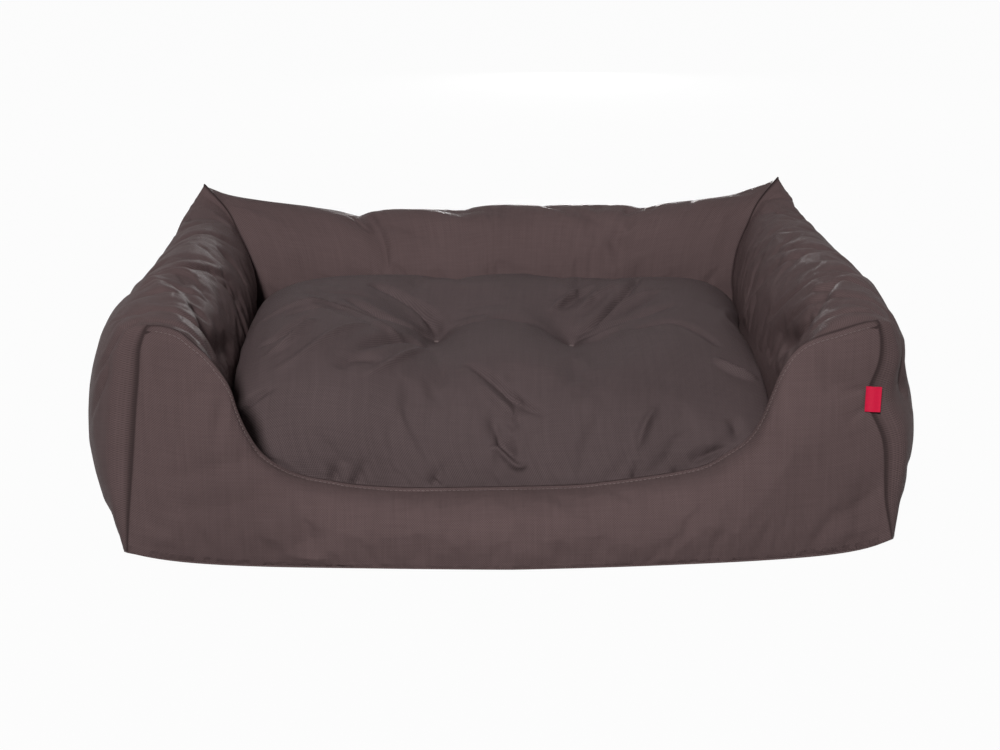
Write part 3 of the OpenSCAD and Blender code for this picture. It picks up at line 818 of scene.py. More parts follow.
def wall_piece(name, rows, bed, long, quiet):
    """A stuffed wall from its rows of points, closed by its foot and its sewn ends. Its
    cloth is this long, and the quiet columns at its inner foot don't settle."""
    cols = 112
    skin = np.array([evened(row, cols + 1) for row in rows])
    net = np.concatenate([skin, skin[:, :1]], axis=1)
    count = len(rows) - 1
    along = np.linspace(0, long, count + 1)
    across = np.array([runs(row) for row in net])
    marks = {
        "cloth": np.stack([np.repeat(along[:, None], cols + 2, 1), across, across * 0], axis=2),
        "seam": np.repeat(np.minimum(along, long - along)[:, None], cols + 2, 1),
        "held": np.zeros(net.shape[:2]),
    }
    marks["held"][[0, -1]] = 1
    marks["held"][:, [0, cols, cols + 1]] = 1
    marks["held"][:, cols - quiet:] = 1
    form = bmesh.new()
    lay_grid(form, net, marks, creased=(0, cols))
    closed(form)
    piece = piece_from(form, name)
    let_settle(piece, push=3.0, slack=bed.walls.slack, most=0.010)
    coarse = refined(piece)
    set_finish(piece, wall_cloth(bed))
    return piece, coarse


def wall_cloth(bed):
    return woven("wall_weave", bed.finish.wall, bed.finish.weave, bed.finish.sheen, 0.8)


# Each arm's main folds: the places that a fold runs through, at distances along the arm
# and round it from its outer foot, then its width and depth
ARM_FOLDS = {
    -1: (
        (((0.340, 0.235), (0.375, 0.270), (0.410, 0.300), (0.471, 0.341)), 0.0060, 0.0030),
        (((0.290, 0.215), (0.300, 0.245), (0.333, 0.275)), 0.0060, 0.0028),
        (((0.196, 0.225), (0.196, 0.262), (0.212, 0.285), (0.262, 0.320), (0.311, 0.346)),
         0.0058, 0.0042),
        (((0.128, 0.235), (0.140, 0.268), (0.150, 0.298), (0.168, 0.335)), 0.0060, 0.0032),
        (((0.084, 0.240), (0.098, 0.275), (0.106, 0.300), (0.125, 0.345)), 0.0075, 0.0034),
        (((0.050, 0.220), (0.044, 0.255), (0.047, 0.290), (0.056, 0.335), (0.062, 0.370)),
         0.0060, 0.0038),
        (((0.012, 0.225), (0.012, 0.250), (0.016, 0.285), (0.024, 0.320)), 0.0050, 0.0030),
        (((0.040, 0.165), (0.022, 0.195), (0.016, 0.225), (0.024, 0.255)), 0.0060, 0.0030),
        (((0.040, 0.130), (0.022, 0.160), (0.014, 0.190)), 0.0070, 0.0026),
        (((0.250, 0.325), (0.285, 0.352), (0.322, 0.390)), 0.0060, 0.0026),
        (((0.230, 0.200), (0.236, 0.235), (0.252, 0.265)), 0.0050, 0.0024),
        (((0.165, 0.195), (0.166, 0.230), (0.176, 0.262)), 0.0050, 0.0022),
        (((0.420, 0.240), (0.450, 0.270), (0.490, 0.300)), 0.0060, 0.0018),
    ),
    1: (
        (((0.316, 0.225), (0.330, 0.258), (0.352, 0.280), (0.392, 0.305)), 0.0055, 0.0030),
        (((0.245, 0.230), (0.258, 0.268), (0.290, 0.297), (0.345, 0.325)), 0.0075, 0.0034),
        (((0.214, 0.225), (0.232, 0.265), (0.258, 0.298), (0.312, 0.345)), 0.0055, 0.0028),
        (((0.096, 0.215), (0.106, 0.258), (0.122, 0.290), (0.152, 0.327)), 0.0058, 0.0038),
        (((0.150, 0.275), (0.175, 0.318), (0.205, 0.350), (0.235, 0.375)), 0.0055, 0.0024),
        (((0.018, 0.235), (0.026, 0.270), (0.036, 0.300), (0.052, 0.335)), 0.0058, 0.0034),
        (((0.044, 0.200), (0.054, 0.240), (0.066, 0.272), (0.086, 0.305)), 0.0055, 0.0032),
        (((0.012, 0.195), (0.026, 0.230), (0.042, 0.262)), 0.0055, 0.0028),
        (((0.500, 0.235), (0.525, 0.262), (0.538, 0.285)), 0.0050, 0.0020),
        (((0.430, 0.225), (0.466, 0.258), (0.520, 0.288)), 0.0080, 0.0028),
        (((0.108, 0.300), (0.132, 0.330), (0.168, 0.360)), 0.0050, 0.0020),
        (((0.086, 0.318), (0.120, 0.350), (0.168, 0.385)), 0.0060, 0.0022),
        (((0.034, 0.140), (0.022, 0.170), (0.034, 0.205)), 0.0080, 0.0034),
        (((0.170, 0.210), (0.182, 0.245), (0.206, 0.280)), 0.0050, 0.0024),
        (((0.370, 0.215), (0.392, 0.250), (0.436, 0.285)), 0.0060, 0.0024),
    ),
}


def arm_wrinkles(side, depth):
    """The main folds over an arm's crown, and finer ones between them. They run over the
    arm, and further back their inner ends lean more to the rear."""
    dice = random.Random(11 + side)
    folds = [(through, width, deep * 1.4, 0) for through, width, deep in ARM_FOLDS[side]]
    for _ in range(90):
        along, across = dice.uniform(0.01, 0.50), dice.uniform(0.19, 0.33)
        reach = dice.uniform(0.035, 0.10)
        lean = blend(0.15, 1.1, along / 0.5) + dice.uniform(-0.15, 0.15)
        through = [(along + lean * t * reach + 0.12 * t * t * reach, across + t * reach)
                   for t in (-0.5, -0.15, 0.2, 0.5)]
        width = dice.uniform(0.0026, 0.0050)
        folds.append((through, width, depth * width / 0.0045 * dice.uniform(0.4, 1.3), 0))
    return folds


class SOFABED_OT_arms(SofaBedOperator, bpy.types.Operator):
    """Make the two stuffed arms"""
    bl_idname = "sofabed.arms"
    bl_label = "Arms"

    def build(self, bed, plan):
        for side, word in ((-1, "left"), (1, "right")):
            rows = [plan.arm_row(side, along) for along in np.linspace(0, 1, 105)]
            arm, coarse = wall_piece(f"{word}_arm", rows, bed, long=0.545, quiet=28)
            press(arm, arm_wrinkles(side, bed.walls.wrinkles))
            press(arm, scattered(31 + side, count=26, first=(0.02, 0.5), second=(0.05, 0.42),
                                 reach=(0.08, 0.16), lean=0.6, width=(0.014, 0.026), depth=0.0016))
            stuff(arm, coarse, f"{word}_arm_fibre", f"{word}_arm_filling", "bed", bed)
            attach(arm, "bed")
            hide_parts(f"{word}_arm_cover")


# The back's short folds over its ridge, at distances along it and round it from its
# outer foot
BACK_FOLDS = (
    (((0.166, 0.262), (0.172, 0.292)), 0.0050, 0.0030, 0),
    (((0.192, 0.250), (0.184, 0.285)), 0.0050, 0.0022, 0),
    (((0.338, 0.258), (0.340, 0.300)), 0.0060, 0.0022, 0),
    (((0.360, 0.260), (0.357, 0.297)), 0.0050, 0.0018, 0),
    (((0.474, 0.252), (0.488, 0.298)), 0.0060, 0.0020, 0),
    (((0.513, 0.250), (0.522, 0.288)), 0.0050, 0.0020, 0),
    (((0.548, 0.252), (0.552, 0.290)), 0.0050, 0.0020, 0),
    (((0.585, 0.250), (0.606, 0.304)), 0.0060, 0.0022, 0),
)


class SOFABED_OT_back(SofaBedOperator, bpy.types.Operator):
    """Make the stuffed back wall"""
    bl_idname = "sofabed.back"
    bl_label = "Back"

    def build(self, bed, plan):
        rows = [plan.back_row(along) for along in np.linspace(0, 1, 141)]
        back, coarse = wall_piece("back_wall", rows, bed, long=0.690, quiet=20)
        press(back, scattered(5, count=20, first=(0.05, 0.64), second=(0.24, 0.45),
                              reach=(0.10, 0.24), lean=1.3, width=(0.016, 0.030), depth=0.0026))
        press(back, BACK_FOLDS)
        stuff(back, coarse, "back_fibre", "back_filling", "bed", bed)
        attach(back, "bed")
        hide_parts("back_cover")


# The front's short folds beside the label and at the notch's two bends, at distances
# across it and up it
FRONT_FOLDS = (
    (((0.331, 0.151), (0.314, 0.157), (0.296, 0.153)), 0.0040, 0.0022, 1),
    (((0.330, 0.136), (0.316, 0.131), (0.304, 0.120)), 0.0040, 0.0020, 1),
    (((-0.276, 0.206), (-0.288, 0.196)), 0.0030, 0.0026, 1),
    (((0.268, 0.208), (0.280, 0.197)), 0.0030, 0.0026, 1),
)


class SOFABED_OT_front(SofaBedOperator, bpy.types.Operator):
    """Make the low front with its notch"""
    bl_idname = "sofabed.front"
    bl_label = "Front"

    def build(self, bed, plan):
        count, up, down = 176, 34, 14
        edge = evened(plan.notch_line(), count + 1)
        net, cloth, seam, hem = [], [], [], []
        reach = runs(edge)
        for k, point in enumerate(edge):
            outside, inside = plan.front_column(point, k / count)
            out, back = evened(outside, up + 1), evened(inside, down + 1)[1:]
            column = np.vstack([out, back, out[:1]])
            run = runs(column)
            net.append(column)
            cloth.append(np.stack([column[:, 0], run, run * 0], axis=1))
            side = min(reach[k], reach[-1] - reach[k])
            hem.append(np.abs(run[up] - run))
            seam.append(np.minimum(np.full(len(run), side), hem[-1] + 1e-4))
        marks = {"cloth": np.array(cloth), "seam": np.array(seam), "hem": np.array(hem),
                 "held": np.zeros((count + 1, up + down + 2))}
        marks["held"][[0, -1]] = 1
        marks["held"][:, 0] = 1
        marks["held"][:, up:] = 1
        form = bmesh.new()
        lay_grid(form, np.array(net), marks, creased=(0, up))
        closed(form)
        front = piece_from(form, "front_wall")
        let_settle(front, push=2.5, slack=0.012, most=0.008)
        coarse = refined(front)
        set_finish(front, wall_cloth(bed))
        press(front, scattered(8, count=30, first=(-0.34, 0.34), second=(0.03, 0.30),
                               reach=(0.08, 0.2), lean=1.2, width=(0.016, 0.030), depth=0.0024))
        press(front, FRONT_FOLDS)
        hem = mark(front.data, "hem")
        rolled = 0.0011 * bump(hem - 0.0025, 0.0022) - 0.0007 * bump(hem - bed.front.hem, 0.0015)
        put(front.data, places(front.data) + directions(front.data) * rolled[:, None])
        stuff(front, coarse, "front_fibre", "front_filling", "bed", bed, within=0.245)
        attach(front, "bed")
        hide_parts("front_panel", "front_facing")


class SOFABED_OT_base(SofaBedOperator, bpy.types.Operator):
    """Make the cloth under the bed, the base wadding and the cloth floor on it"""
    bl_idname = "sofabed.base"
    bl_label = "Base"

    def build(self, bed, plan):
        self.wadding(bed)
        self.floor(bed, "floor_panel", "floor_cloth")
        self.under(bed, plan)

    def wadding(self, bed):
        low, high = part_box("base_pad")
        form = bmesh.new()
        bmesh.ops.create_cube(form, size=1.0)
        bmesh.ops.scale(form, verts=form.verts, vec=high - low)
        bmesh.ops.translate(form, verts=form.verts, vec=(low + high) / 2)
        bmesh.ops.bevel(form, geom=form.edges, offset=0.006, offset_type="OFFSET", segments=3,
                        profile=0.5, affect="EDGES", material=-1)
        bmesh.ops.subdivide_edges(form, edges=[e for e in form.edges if e.calc_length() > 0.1],
                                  cuts=40, use_grid_fill=True)
        dice = random.Random(4)
        for v in form.verts:
            v.co.z -= dice.uniform(0, 0.0008) * (v.co.z > 0.011)
        wadding = piece_from(form, "base_wadding")
        set_finish(wadding, fibre(bed.finish.fibre))
        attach(wadding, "bed")
        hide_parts("base_pad")

    def floor(self, bed, node, name):
        low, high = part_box(node)
        rows, cols = 80, 100
        y, x = np.meshgrid(np.linspace(low.y, high.y, rows + 1), np.linspace(low.x, high.x, cols + 1),
                           indexing="ij")
        edge = np.minimum(np.minimum(x - low.x, high.x - x), np.minimum(y - low.y, high.y - y))
        z = high.z - 0.0002 - 0.0010 * bump(edge, 0.012)
        net = np.stack([x, y, z], axis=2)
        marks = {"cloth": np.stack([x, y, x * 0], axis=2), "seam": edge}
        form = bmesh.new()
        lay_grid(form, net, marks)
        piece = piece_from(form, name)
        set_finish(piece, wall_cloth(bed))
        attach(piece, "bed")
        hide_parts(node)

    def under(self, bed, plan):
        outline = [plan.front_column(point, k / 90)[0][0]
                   for k, point in enumerate(evened(plan.notch_line(), 91))]
        outline += [plan.arm_row(1, along)[0] for along in np.linspace(0, 1, 60)[1:]]
        outline += [plan.back_row(along)[0] for along in np.linspace(1, 0, 80)[1:]]
        outline += [plan.arm_row(-1, along)[0] for along in np.linspace(1, 0, 60)[1:-1]]
        form = bmesh.new()
        cloth = form.verts.layers.float_vector.new("cloth")
        ring = {form.verts.new((p[0], p[1], bed.walls.cloth)): p[2] for p in outline}
        face = form.faces.new(ring)
        bmesh.ops.inset_region(form, faces=[face], thickness=0.05, use_even_offset=True)
        for v, height in ring.items():
            v.co.z = height
        bmesh.ops.triangulate(form, faces=form.faces[:])
        grown = bmesh.ops.extrude_face_region(form, geom=form.faces[:])["geom"]
        low = [v for v in grown if isinstance(v, bmesh.types.BMVert)]
        bmesh.ops.translate(form, verts=low, vec=(0, 0, -bed.walls.cloth))
        bmesh.ops.recalc_face_normals(form, faces=form.faces)
        for v in form.verts:
            v[cloth] = v.co
        piece = piece_from(form, "underside_cloth", flat=True)
        set_finish(piece, woven("underside_cloth", bed.finish.wall, bed.finish.weave, 0.1))
        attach(piece, "bed")
        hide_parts("bottom_panel")
        low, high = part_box("bottom_panel")


# The cushion's folds and ridges, at distances across it and up its top and front
CUSHION_FOLDS = (
    (((-0.068, -0.026), (-0.071, -0.004), (-0.080, 0.022), (-0.097, 0.045), (-0.119, 0.069),
      (-0.140, 0.083)), 0.0080, 0.0070, 0),
    (((-0.073, -0.034), (-0.088, -0.034), (-0.107, -0.032), (-0.127, -0.017), (-0.147, 0.005),
      (-0.165, 0.024)), 0.0070, 0.0055, 0),
    (((-0.074, -0.042), (-0.078, -0.086), (-0.096, -0.086), (-0.116, -0.100), (-0.136, -0.121),
      (-0.153, -0.145)), 0.0110, 0.0050, 0),
    (((-0.152, -0.056), (-0.174, -0.033), (-0.198, -0.034), (-0.223, -0.054)), 0.0060, 0.0035, 0),
    (((-0.081, -0.106), (-0.099, -0.134), (-0.119, -0.164), (-0.142, -0.189)), 0.0060, -0.0032, 0),
    (((-0.086, -0.091), (-0.112, -0.080), (-0.132, -0.058), (-0.156, -0.026), (-0.182, -0.012),
      (-0.206, -0.019), (-0.230, -0.033), (-0.255, -0.050)), 0.0060, -0.0034, 0),
    (((-0.238, -0.144), (-0.219, -0.126), (-0.206, -0.095), (-0.191, -0.067)), 0.0050, -0.0036, 0),
    (((-0.227, -0.178), (-0.203, -0.156), (-0.180, -0.120), (-0.159, -0.090),
      (-0.137, -0.069)), 0.0070, -0.0032, 0),
    (((-0.125, -0.155), (-0.148, -0.154), (-0.167, -0.176)), 0.0130, 0.0034, 0),
    (((-0.247, -0.122), (-0.229, -0.110), (-0.215, -0.085), (-0.198, -0.061)), 0.0050, 0.0032, 0),
    (((-0.038, -0.148), (-0.022, -0.170), (-0.005, -0.194), (0.015, -0.223),
      (0.039, -0.245)), 0.0060, 0.0046, 0),
    (((-0.030, -0.184), (-0.014, -0.210), (0.001, -0.232), (0.016, -0.251)), 0.0080, -0.0040, 0),
    (((-0.017, -0.236), (-0.008, -0.270), (0.001, -0.294), (0.007, -0.309)), 0.0090, 0.0050, 0),
    (((-0.019, -0.292), (-0.011, -0.289), (-0.002, -0.301), (0.008, -0.315),
      (0.019, -0.308)), 0.0050, -0.0045, 0),
    (((0.077, -0.028), (0.094, -0.010), (0.112, 0.014), (0.131, 0.053), (0.149, 0.094),
      (0.158, 0.123)), 0.0070, 0.0065, 0),
    (((0.090, -0.032), (0.111, -0.032), (0.136, -0.016), (0.165, 0.006),
      (0.193, 0.022)), 0.0100, 0.0032, 0),
    (((0.066, 0.028), (0.088, 0.067), (0.112, 0.100)), 0.0070, 0.0030, 0),
    (((0.080, -0.036), (0.094, -0.054), (0.113, -0.042), (0.133, -0.026),
      (0.156, -0.012)), 0.0070, -0.0030, 0),
    (((0.105, -0.014), (0.129, 0.027), (0.154, 0.056), (0.183, 0.072)), 0.0060, -0.0030, 0),
    (((0.083, 0.024), (0.104, 0.060), (0.135, 0.104)), 0.0050, -0.0030, 0),
    (((0.053, 0.021), (0.072, 0.055), (0.095, 0.093)), 0.0050, -0.0032, 0),
    (((0.133, -0.050), (0.157, -0.040), (0.183, -0.035), (0.206, -0.063),
      (0.225, -0.099)), 0.0060, 0.0024, 0),
    (((0.215, -0.125), (0.229, -0.146), (0.245, -0.158), (0.257, -0.159)), 0.0060, -0.0045, 0),
    (((0.125, -0.295), (0.134, -0.260), (0.146, -0.230)), 0.0070, -0.0036, 0),
    (((0.222, -0.285), (0.226, -0.262), (0.220, -0.243)), 0.0100, 0.0035, 0),
    (((0.177, -0.311), (0.199, -0.299), (0.217, -0.289)), 0.0090, 0.0040, 0),
    (((-0.254, -0.225), (-0.238, -0.213), (-0.221, -0.205)), 0.0060, 0.0050, 1),
    (((-0.170, -0.330), (-0.163, -0.300)), 0.0080, 0.0040, 1),
    (((-0.149, -0.335), (-0.138, -0.303)), 0.0080, 0.0042, 1),
    (((-0.072, -0.332), (-0.062, -0.305)), 0.0090, 0.0034, 1),
    (((0.166, -0.326), (0.158, -0.294)), 0.0100, 0.0045, 1),
    (((0.123, -0.332), (0.125, -0.306)), 0.0080, 0.0034, 1),
)


class SOFABED_OT_cushion(SofaBedOperator, bpy.types.Operator):
    """Make the loose cushion with its two tufts"""
    bl_idname = "sofabed.cushion"
    bl_label = "Cushion"

    def build(self, bed, plan):
        c = bed.cushion
        cols, rows = 132, 104
        dense = np.linspace(-1, 1, 801)
        _, y, z = plan.cushion_top(dense * 0, dense)
        alongs = evened_values(dense, np.stack([y, z], axis=1), rows + 1)
        top = []
        for along in alongs:
            x, y, z = plan.cushion_top(dense, dense * 0 + along)
            top.append(evened(np.stack([x, y, z], axis=1), cols + 1))
        top = np.array(top)
        tufts = [Vector(plan.tuft(side)) for side in (-1, 1)]
        seams = plan.cushion_seam(alongs)[:, None]
        rise = np.clip((top[:, :, 2] - seams) / 0.07, 0, 1)
        gaps = [np.hypot(top[:, :, 0] - t.x, top[:, :, 1] - t.y) for t in tufts]
        for t in tufts:
            stretch = np.where(top[:, :, 1] < t.y, 2.6, 1.0)
            dip = np.hypot(top[:, :, 0] - t.x, (top[:, :, 1] - t.y) / stretch)
            top[:, :, 2] -= c.tuft_depth * np.exp(-dip / 0.040) * rise
        pinch = np.hypot(top[:, :, 0] - PINCH[0], top[:, :, 1] - PINCH[1])
        top[:, :, 2] -= 0.016 * np.exp(-pinch / 0.024) * rise
        across = np.array([runs(row) for row in top])
        across -= across[:, -1:] / 2
        along = runs(top[:, cols // 2])
        place = np.stack([across, np.repeat(along[:, None], cols + 1, 1) - along[-1] / 2,
                          across * 0], axis=2)
        held = np.zeros(top.shape[:2])
        held[[0, -1]] = 1
        held[:, [0, -1]] = 1
        for gap in gaps:
            held[gap < TUFT_REACH] = 1
        border = np.minimum(across - across[:, :1], across[:, -1:] - across)
        form = bmesh.new()
        lay_grid(form, top, {"cloth": place, "seam": border, "held": held, "side": held * 0 + 1})
        under = top.copy()
        middle = (top[0, cols // 2] + top[-1, cols // 2]) / 2
        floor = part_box("floor_panel")[1].z + 0.0004
        under[:, :, 2] = blend(seams, floor, under_share(rows, cols))
        shrink = 1 - 0.10 * under_share(rows, cols)
        under[:, :, 0] = middle[0] + (under[:, :, 0] - middle[0]) * shrink
        under[:, :, 1] = middle[1] + (under[:, :, 1] - middle[1]) * shrink
        lay_grid(form, under, {"cloth": place, "seam": border, "held": held * 0 + 1, "side": held * 0})
        closed(form)
        cushion = piece_from(form, "cushion")
        let_settle(cushion, push=2.5, slack=0.02, most=0.014, swell=0.7, creases=1.2)
        coarse = refined(cushion)
        at = places(cushion.data)
        top_side = mark(cushion.data, "side") > 0.5
        upward = np.stack([at[:, 0], np.where(top_side, at[:, 1] + at[:, 2] - c.height, 9.0)], axis=1)
        press(cushion, CUSHION_FOLDS, upward, 1.8)
        keep_clear(cushion, ("left_arm", "right_arm", "back_wall", "front_wall"), 0.0015)
        stuff(cushion, coarse, "cushion_fibre", "cushion_filling", "cushion", bed, smaller=0.018)
        set_finish(cushion, cushion_cloth(bed))
        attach(cushion, "cushion")
        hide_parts("cushion_top_panel", "cushion_bottom_panel")


def cushion_cloth(bed):
    return woven("cushion_weave", bed.finish.cushion, bed.finish.weave, bed.finish.sheen * 0.7, 0.6)


def under_share(rows, cols):
    """How far the cushion's underside has dropped, from 0 at its seam to 1 on the floor."""
    r = np.minimum(np.arange(rows + 1), rows - np.arange(rows + 1))[:, None]
    c = np.minimum(np.arange(cols + 1), cols - np.arange(cols + 1))[None, :]
    return np.sin(np.pi / 2 * np.clip(np.minimum(r, c) / 9.0, 0, 1)) ** 0.7


def keep_clear(piece, neighbours, gap):
    """Moves a piece's points out of its neighbours, to a gap in front of their skin."""
    points = places(piece.data)
    graph = bpy.context.evaluated_depsgraph_get()
    for name in neighbours:
        tree = BVHTree.FromObject(bpy.data.objects[name], graph)
        for index, point in enumerate(points):
            place, normal, _, _ = tree.find_nearest(Vector(point), 0.04)
            if place is None:
                continue
            ahead = (Vector(point) - place).dot(normal)
            if ahead < gap:
                points[index] = place + normal * gap
    put(piece.data, points)


# Half the length, width and height of a knot's turn of thread, and half the width and
# height of a stitch
KNOT = (0.0032, 0.0007, 0.0010)
STITCH = (0.00042, 0.00034)


class SOFABED_OT_tufts(SofaBedOperator, bpy.types.Operator):
    """Make the thread knots that hold the cushion's tufts down"""
    bl_idname = "sofabed.tufts"
    bl_label = "Tuft knots"

    def build(self, bed, plan):
        tree = BVHTree.FromObject(bpy.data.objects["cushion"], bpy.context.evaluated_depsgraph_get())
        form = bmesh.new()
        for side in (-1, 1):
            x, y = plan.tuft(side)
            centre, _, _, _ = tree.ray_cast(Vector((x, y, 0.4)), Vector((0, 0, -1)))
            for turn in range(3):
                spin = Matrix.Rotation(math.radians(60 * turn + 15), 4, "Z")
                size = Matrix.Diagonal((*KNOT, 1))
                place = Matrix.Translation(centre + Vector((0, 0, 0.0004)))
                bmesh.ops.create_uvsphere(form, u_segments=12, v_segments=8, radius=1.0,
                                          matrix=place @ spin @ size)
        knots = piece_from(form, "tuft_threads")
        set_finish(knots, spun(bed.finish.thread))
        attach(knots, "cushion")
        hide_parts("tuft_knots")


class SOFABED_OT_stitching(SofaBedOperator, bpy.types.Operator):
    """Make the top stitching inside the notch's edge"""
    bl_idname = "sofabed.stitching"
    bl_label = "Top stitching"

    def build(self, bed, plan):
        front = bpy.data.objects["front_wall"]
        tree = BVHTree.FromObject(front, bpy.context.evaluated_depsgraph_get())
        edge = plan.notch_line()
        count = int(runs(edge)[-1] / bed.front.stitch)
        line = []
        for k, point in enumerate(evened(edge, count + 1)):
            outside = plan.front_column(point, k / count)[0]
            run = runs(outside)
            at = run[-1] - bed.front.hem
            spot = Vector([np.interp(at, run, axis) for axis in outside.T])
            place, normal, _, _ = tree.find_nearest(spot)
            line.append((place, normal))
        form = bmesh.new()
        for (here, normal), (after, _) in list(zip(line, line[1:]))[2:-2]:
            run = after - here
            side = normal.cross(run).normalized()
            up = run.cross(side).normalized()
            turn = Matrix((run.normalized(), side, up)).transposed().to_4x4()
            size = Matrix.Diagonal((run.length * 0.40, *STITCH, 1))
            place = Matrix.Translation(here.lerp(after, 0.5) + normal * 0.00018)
            bmesh.ops.create_uvsphere(form, u_segments=8, v_segments=6, radius=1.0,
                                      matrix=place @ turn @ size)
        stitches = piece_from(form, "notch_stitches")
        set_finish(stitches, spun(bed.finish.thread))
        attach(stitches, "bed")
        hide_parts("notch_stitching")


class SOFABED_OT_label(SofaBedOperator, bpy.types.Operator):
    """Make the folded ribbon in the right front seam"""
    bl_idname = "sofabed.label"
    bl_label = "Seam label"

    def build(self, bed, plan):
        low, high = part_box("label_tab")
        wide, tall = bed.label.width, bed.label.height
        middle_y = (low.y + high.y) / 2
        half = 0.00045
        out = straight((0, -half), (wide - half, -half), 12)
        a = np.radians(np.linspace(-90, 90, 9))[1:-1]
        fold = np.stack([wide - half + half * np.cos(a), half * np.sin(a)], axis=1)
        path = np.vstack([out, fold, straight((wide - half, half), (0, half), 12)])
        run = runs(path)
        net, cloth = [], []
        for k in range(17):
            up = tall * (k / 16 - 0.5)
            row = []
            for x, y in path:
                lean = 0.05 * up + 0.0006 * math.sin(9 * x / wide) - 0.0018 * (x / wide) ** 2
                row.append((low.x + x + 0.03 * up, middle_y + y + lean * 0.5,
                            bed.label.level + up - 0.05 * x))
            net.append(row)
            cloth.append([(r, up, 0) for r in run])
        form = bmesh.new()
        lay_grid(form, np.array(net), {"cloth": np.array(cloth)})
        bmesh.ops.recalc_face_normals(form, faces=form.faces)
        label = piece_from(form, "seam_label")
        thick = label.modifiers.new("Thickness", "SOLIDIFY")
        thick.thickness, thick.offset = 0.0003, 0.0
        set_finish(label, ribbon(bed.finish.label))
        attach(label, "label")
        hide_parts("label_tab")


# Each lamp's place, size and watts, and the place that they all aim at
LAMPS = (("key_light", (-1.00, -4.90, 3.30), 0.7, 430),
         ("top_light", (-0.3, -0.5, 2.6), 1.0, 2),
         ("side_light", (1.9, -1.5, 0.9), 1.0, 6),
         ("back_light", (0.3, 3.2, 0.25), 0.4, 34))
AIM = Vector((0, 0, 0.10))
# The camera's place, the way that it looks, its roll and its lens in millimetres
CAMERA = Vector((-0.0684, -2.0517, 0.6866))
AHEAD = Vector((0.0313, 0.9606, -0.2761))
ROLL, LENS = 0.0065, 72.0


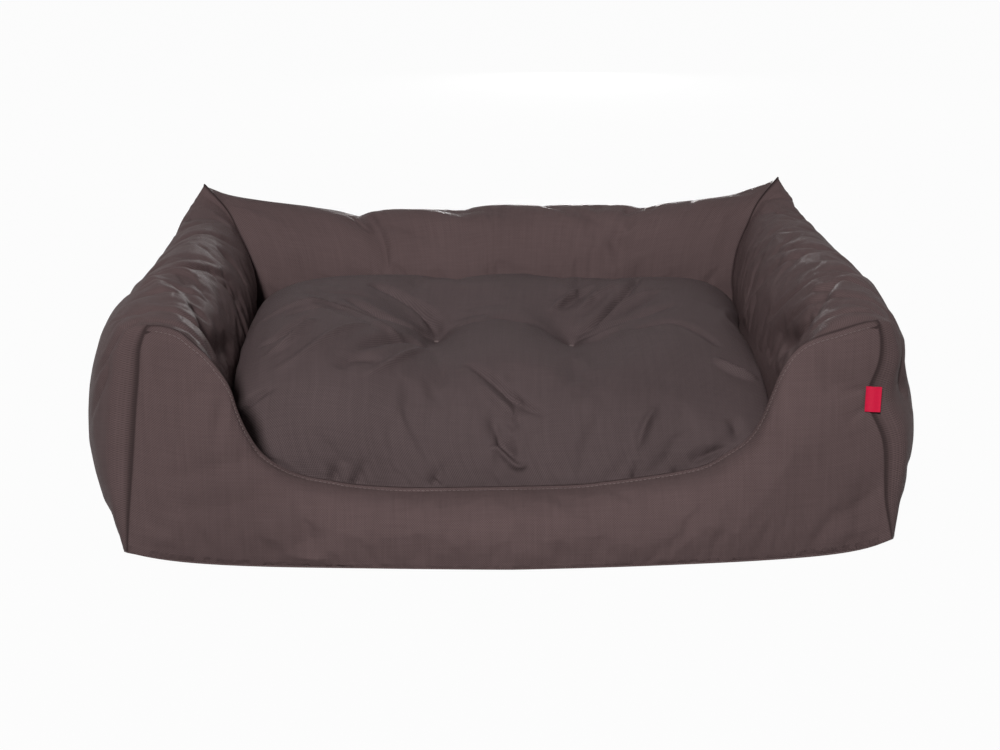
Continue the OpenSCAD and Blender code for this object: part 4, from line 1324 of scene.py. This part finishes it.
class SOFABED_OT_stage(SofaBedOperator, bpy.types.Operator):
    """Make the floor, the light and the camera"""
    bl_idname = "sofabed.stage"
    bl_label = "Stage"

    def build(self, bed, plan):
        form = bmesh.new()
        bmesh.ops.create_grid(form, x_segments=1, y_segments=1, size=14.0)
        bmesh.ops.translate(form, verts=form.verts, vec=(0, 0, -0.0002))
        floor = piece_from(form, "studio_floor", flat=True)
        floor.data.materials.append(self.floor_finish())
        self.world()
        for lamp in LAMPS:
            self.lamp(*lamp)
        self.camera()
        bpy.context.scene.view_settings.view_transform = "Standard"

    def seen(self, m):
        path = m.add("ShaderNodeLightPath")
        outs = path.socket.node.outputs
        total = Wire(m, outs["Is Camera Ray"]) + Wire(m, outs["Is Glossy Ray"])
        total = total + Wire(m, outs["Is Transmission Ray"])
        return m.add("ShaderNodeMath", {"operation": "MINIMUM"}, {0: total, 1: 1.0})

    def floor_finish(self):
        m = Finish(bpy.data.materials.new("studio_floor"))
        paper = m.add("ShaderNodeBsdfDiffuse", values={"Color": (0.18, 0.18, 0.18, 1)})
        white = m.add("ShaderNodeEmission", values={"Color": (1, 1, 1, 1), "Strength": 1.0})
        both = m.add("ShaderNodeMixShader", values={0: self.seen(m) * 0.97, 1: paper, 2: white})
        m.add("ShaderNodeOutputMaterial", values={"Surface": both})
        return m.owner

    def world(self):
        bpy.context.scene.world = bpy.data.worlds.new("studio")
        m = Finish(bpy.context.scene.world)
        light = m.add("ShaderNodeBackground", values={"Color": (1, 1, 1, 1), "Strength": 0.012})
        white = m.add("ShaderNodeBackground", values={"Color": (1, 1, 1, 1), "Strength": 1.0})
        both = m.add("ShaderNodeMixShader", values={0: self.seen(m), 1: light, 2: white})
        m.add("ShaderNodeOutputWorld", values={"Surface": both})

    def lamp(self, name, place, size, watts):
        data = bpy.data.lights.new(name, "AREA")
        data.shape, data.size, data.energy = "DISK", size, watts
        lamp = bpy.data.objects.new(name, data)
        lamp.location = place
        lamp.rotation_euler = (AIM - Vector(place)).to_track_quat("-Z", "Y").to_euler()
        bpy.context.scene.collection.objects.link(lamp)

    def camera(self):
        data = bpy.data.cameras.new("camera")
        data.sensor_width, data.lens = 36.0, LENS
        camera = bpy.data.objects.new("camera", data)
        ahead = AHEAD.normalized()
        right = ahead.cross(Vector((0, 0, 1))).normalized()
        up = right.cross(ahead)
        turned = Matrix.Rotation(-ROLL, 3, -ahead)
        right, up = turned @ right, turned @ up
        turn = Matrix((right, up, -ahead)).transposed().to_4x4()
        camera.matrix_world = Matrix.Translation(CAMERA) @ turn
        bpy.context.scene.collection.objects.link(camera)
        bpy.context.scene.camera = camera


class SOFABED_PT_panel(bpy.types.Panel):
    """Lists the bed's pieces in the sidebar"""
    bl_label = "Sofa Bed"
    bl_idname = "SOFABED_PT_panel"
    bl_space_type = "VIEW_3D"
    bl_region_type = "UI"
    bl_category = "Sofa Bed"

    def draw(self, context):
        bed = context.scene.sofa_bed
        for group in (bed.walls, bed.front, bed.cushion, bed.label, bed.finish):
            box = self.layout.box()
            for name in group.__annotations__:
                box.prop(group, name)
        for operator in OPERATORS:
            self.layout.operator(operator.bl_idname)


OPERATORS = (SOFABED_OT_stage, SOFABED_OT_arms, SOFABED_OT_back, SOFABED_OT_front,
             SOFABED_OT_stitching, SOFABED_OT_cushion, SOFABED_OT_tufts, SOFABED_OT_base,
             SOFABED_OT_label)
GROUPS = (SofaBedWalls, SofaBedFront, SofaBedCushion, SofaBedLabel, SofaBedFinish, SofaBed)


def register():
    for made in (*GROUPS, *OPERATORS, SOFABED_PT_panel):
        bpy.utils.register_class(made)
    bpy.types.Scene.sofa_bed = PointerProperty(type=SofaBed)


def unregister():
    del bpy.types.Scene.sofa_bed
    for made in reversed((*GROUPS, *OPERATORS, SOFABED_PT_panel)):
        bpy.utils.unregister_class(made)


def main():
    register()
    for operator in OPERATORS:
        getattr(bpy.ops.sofabed, operator.bl_idname.split(".")[1])()


if __name__ == "__main__":
    main()
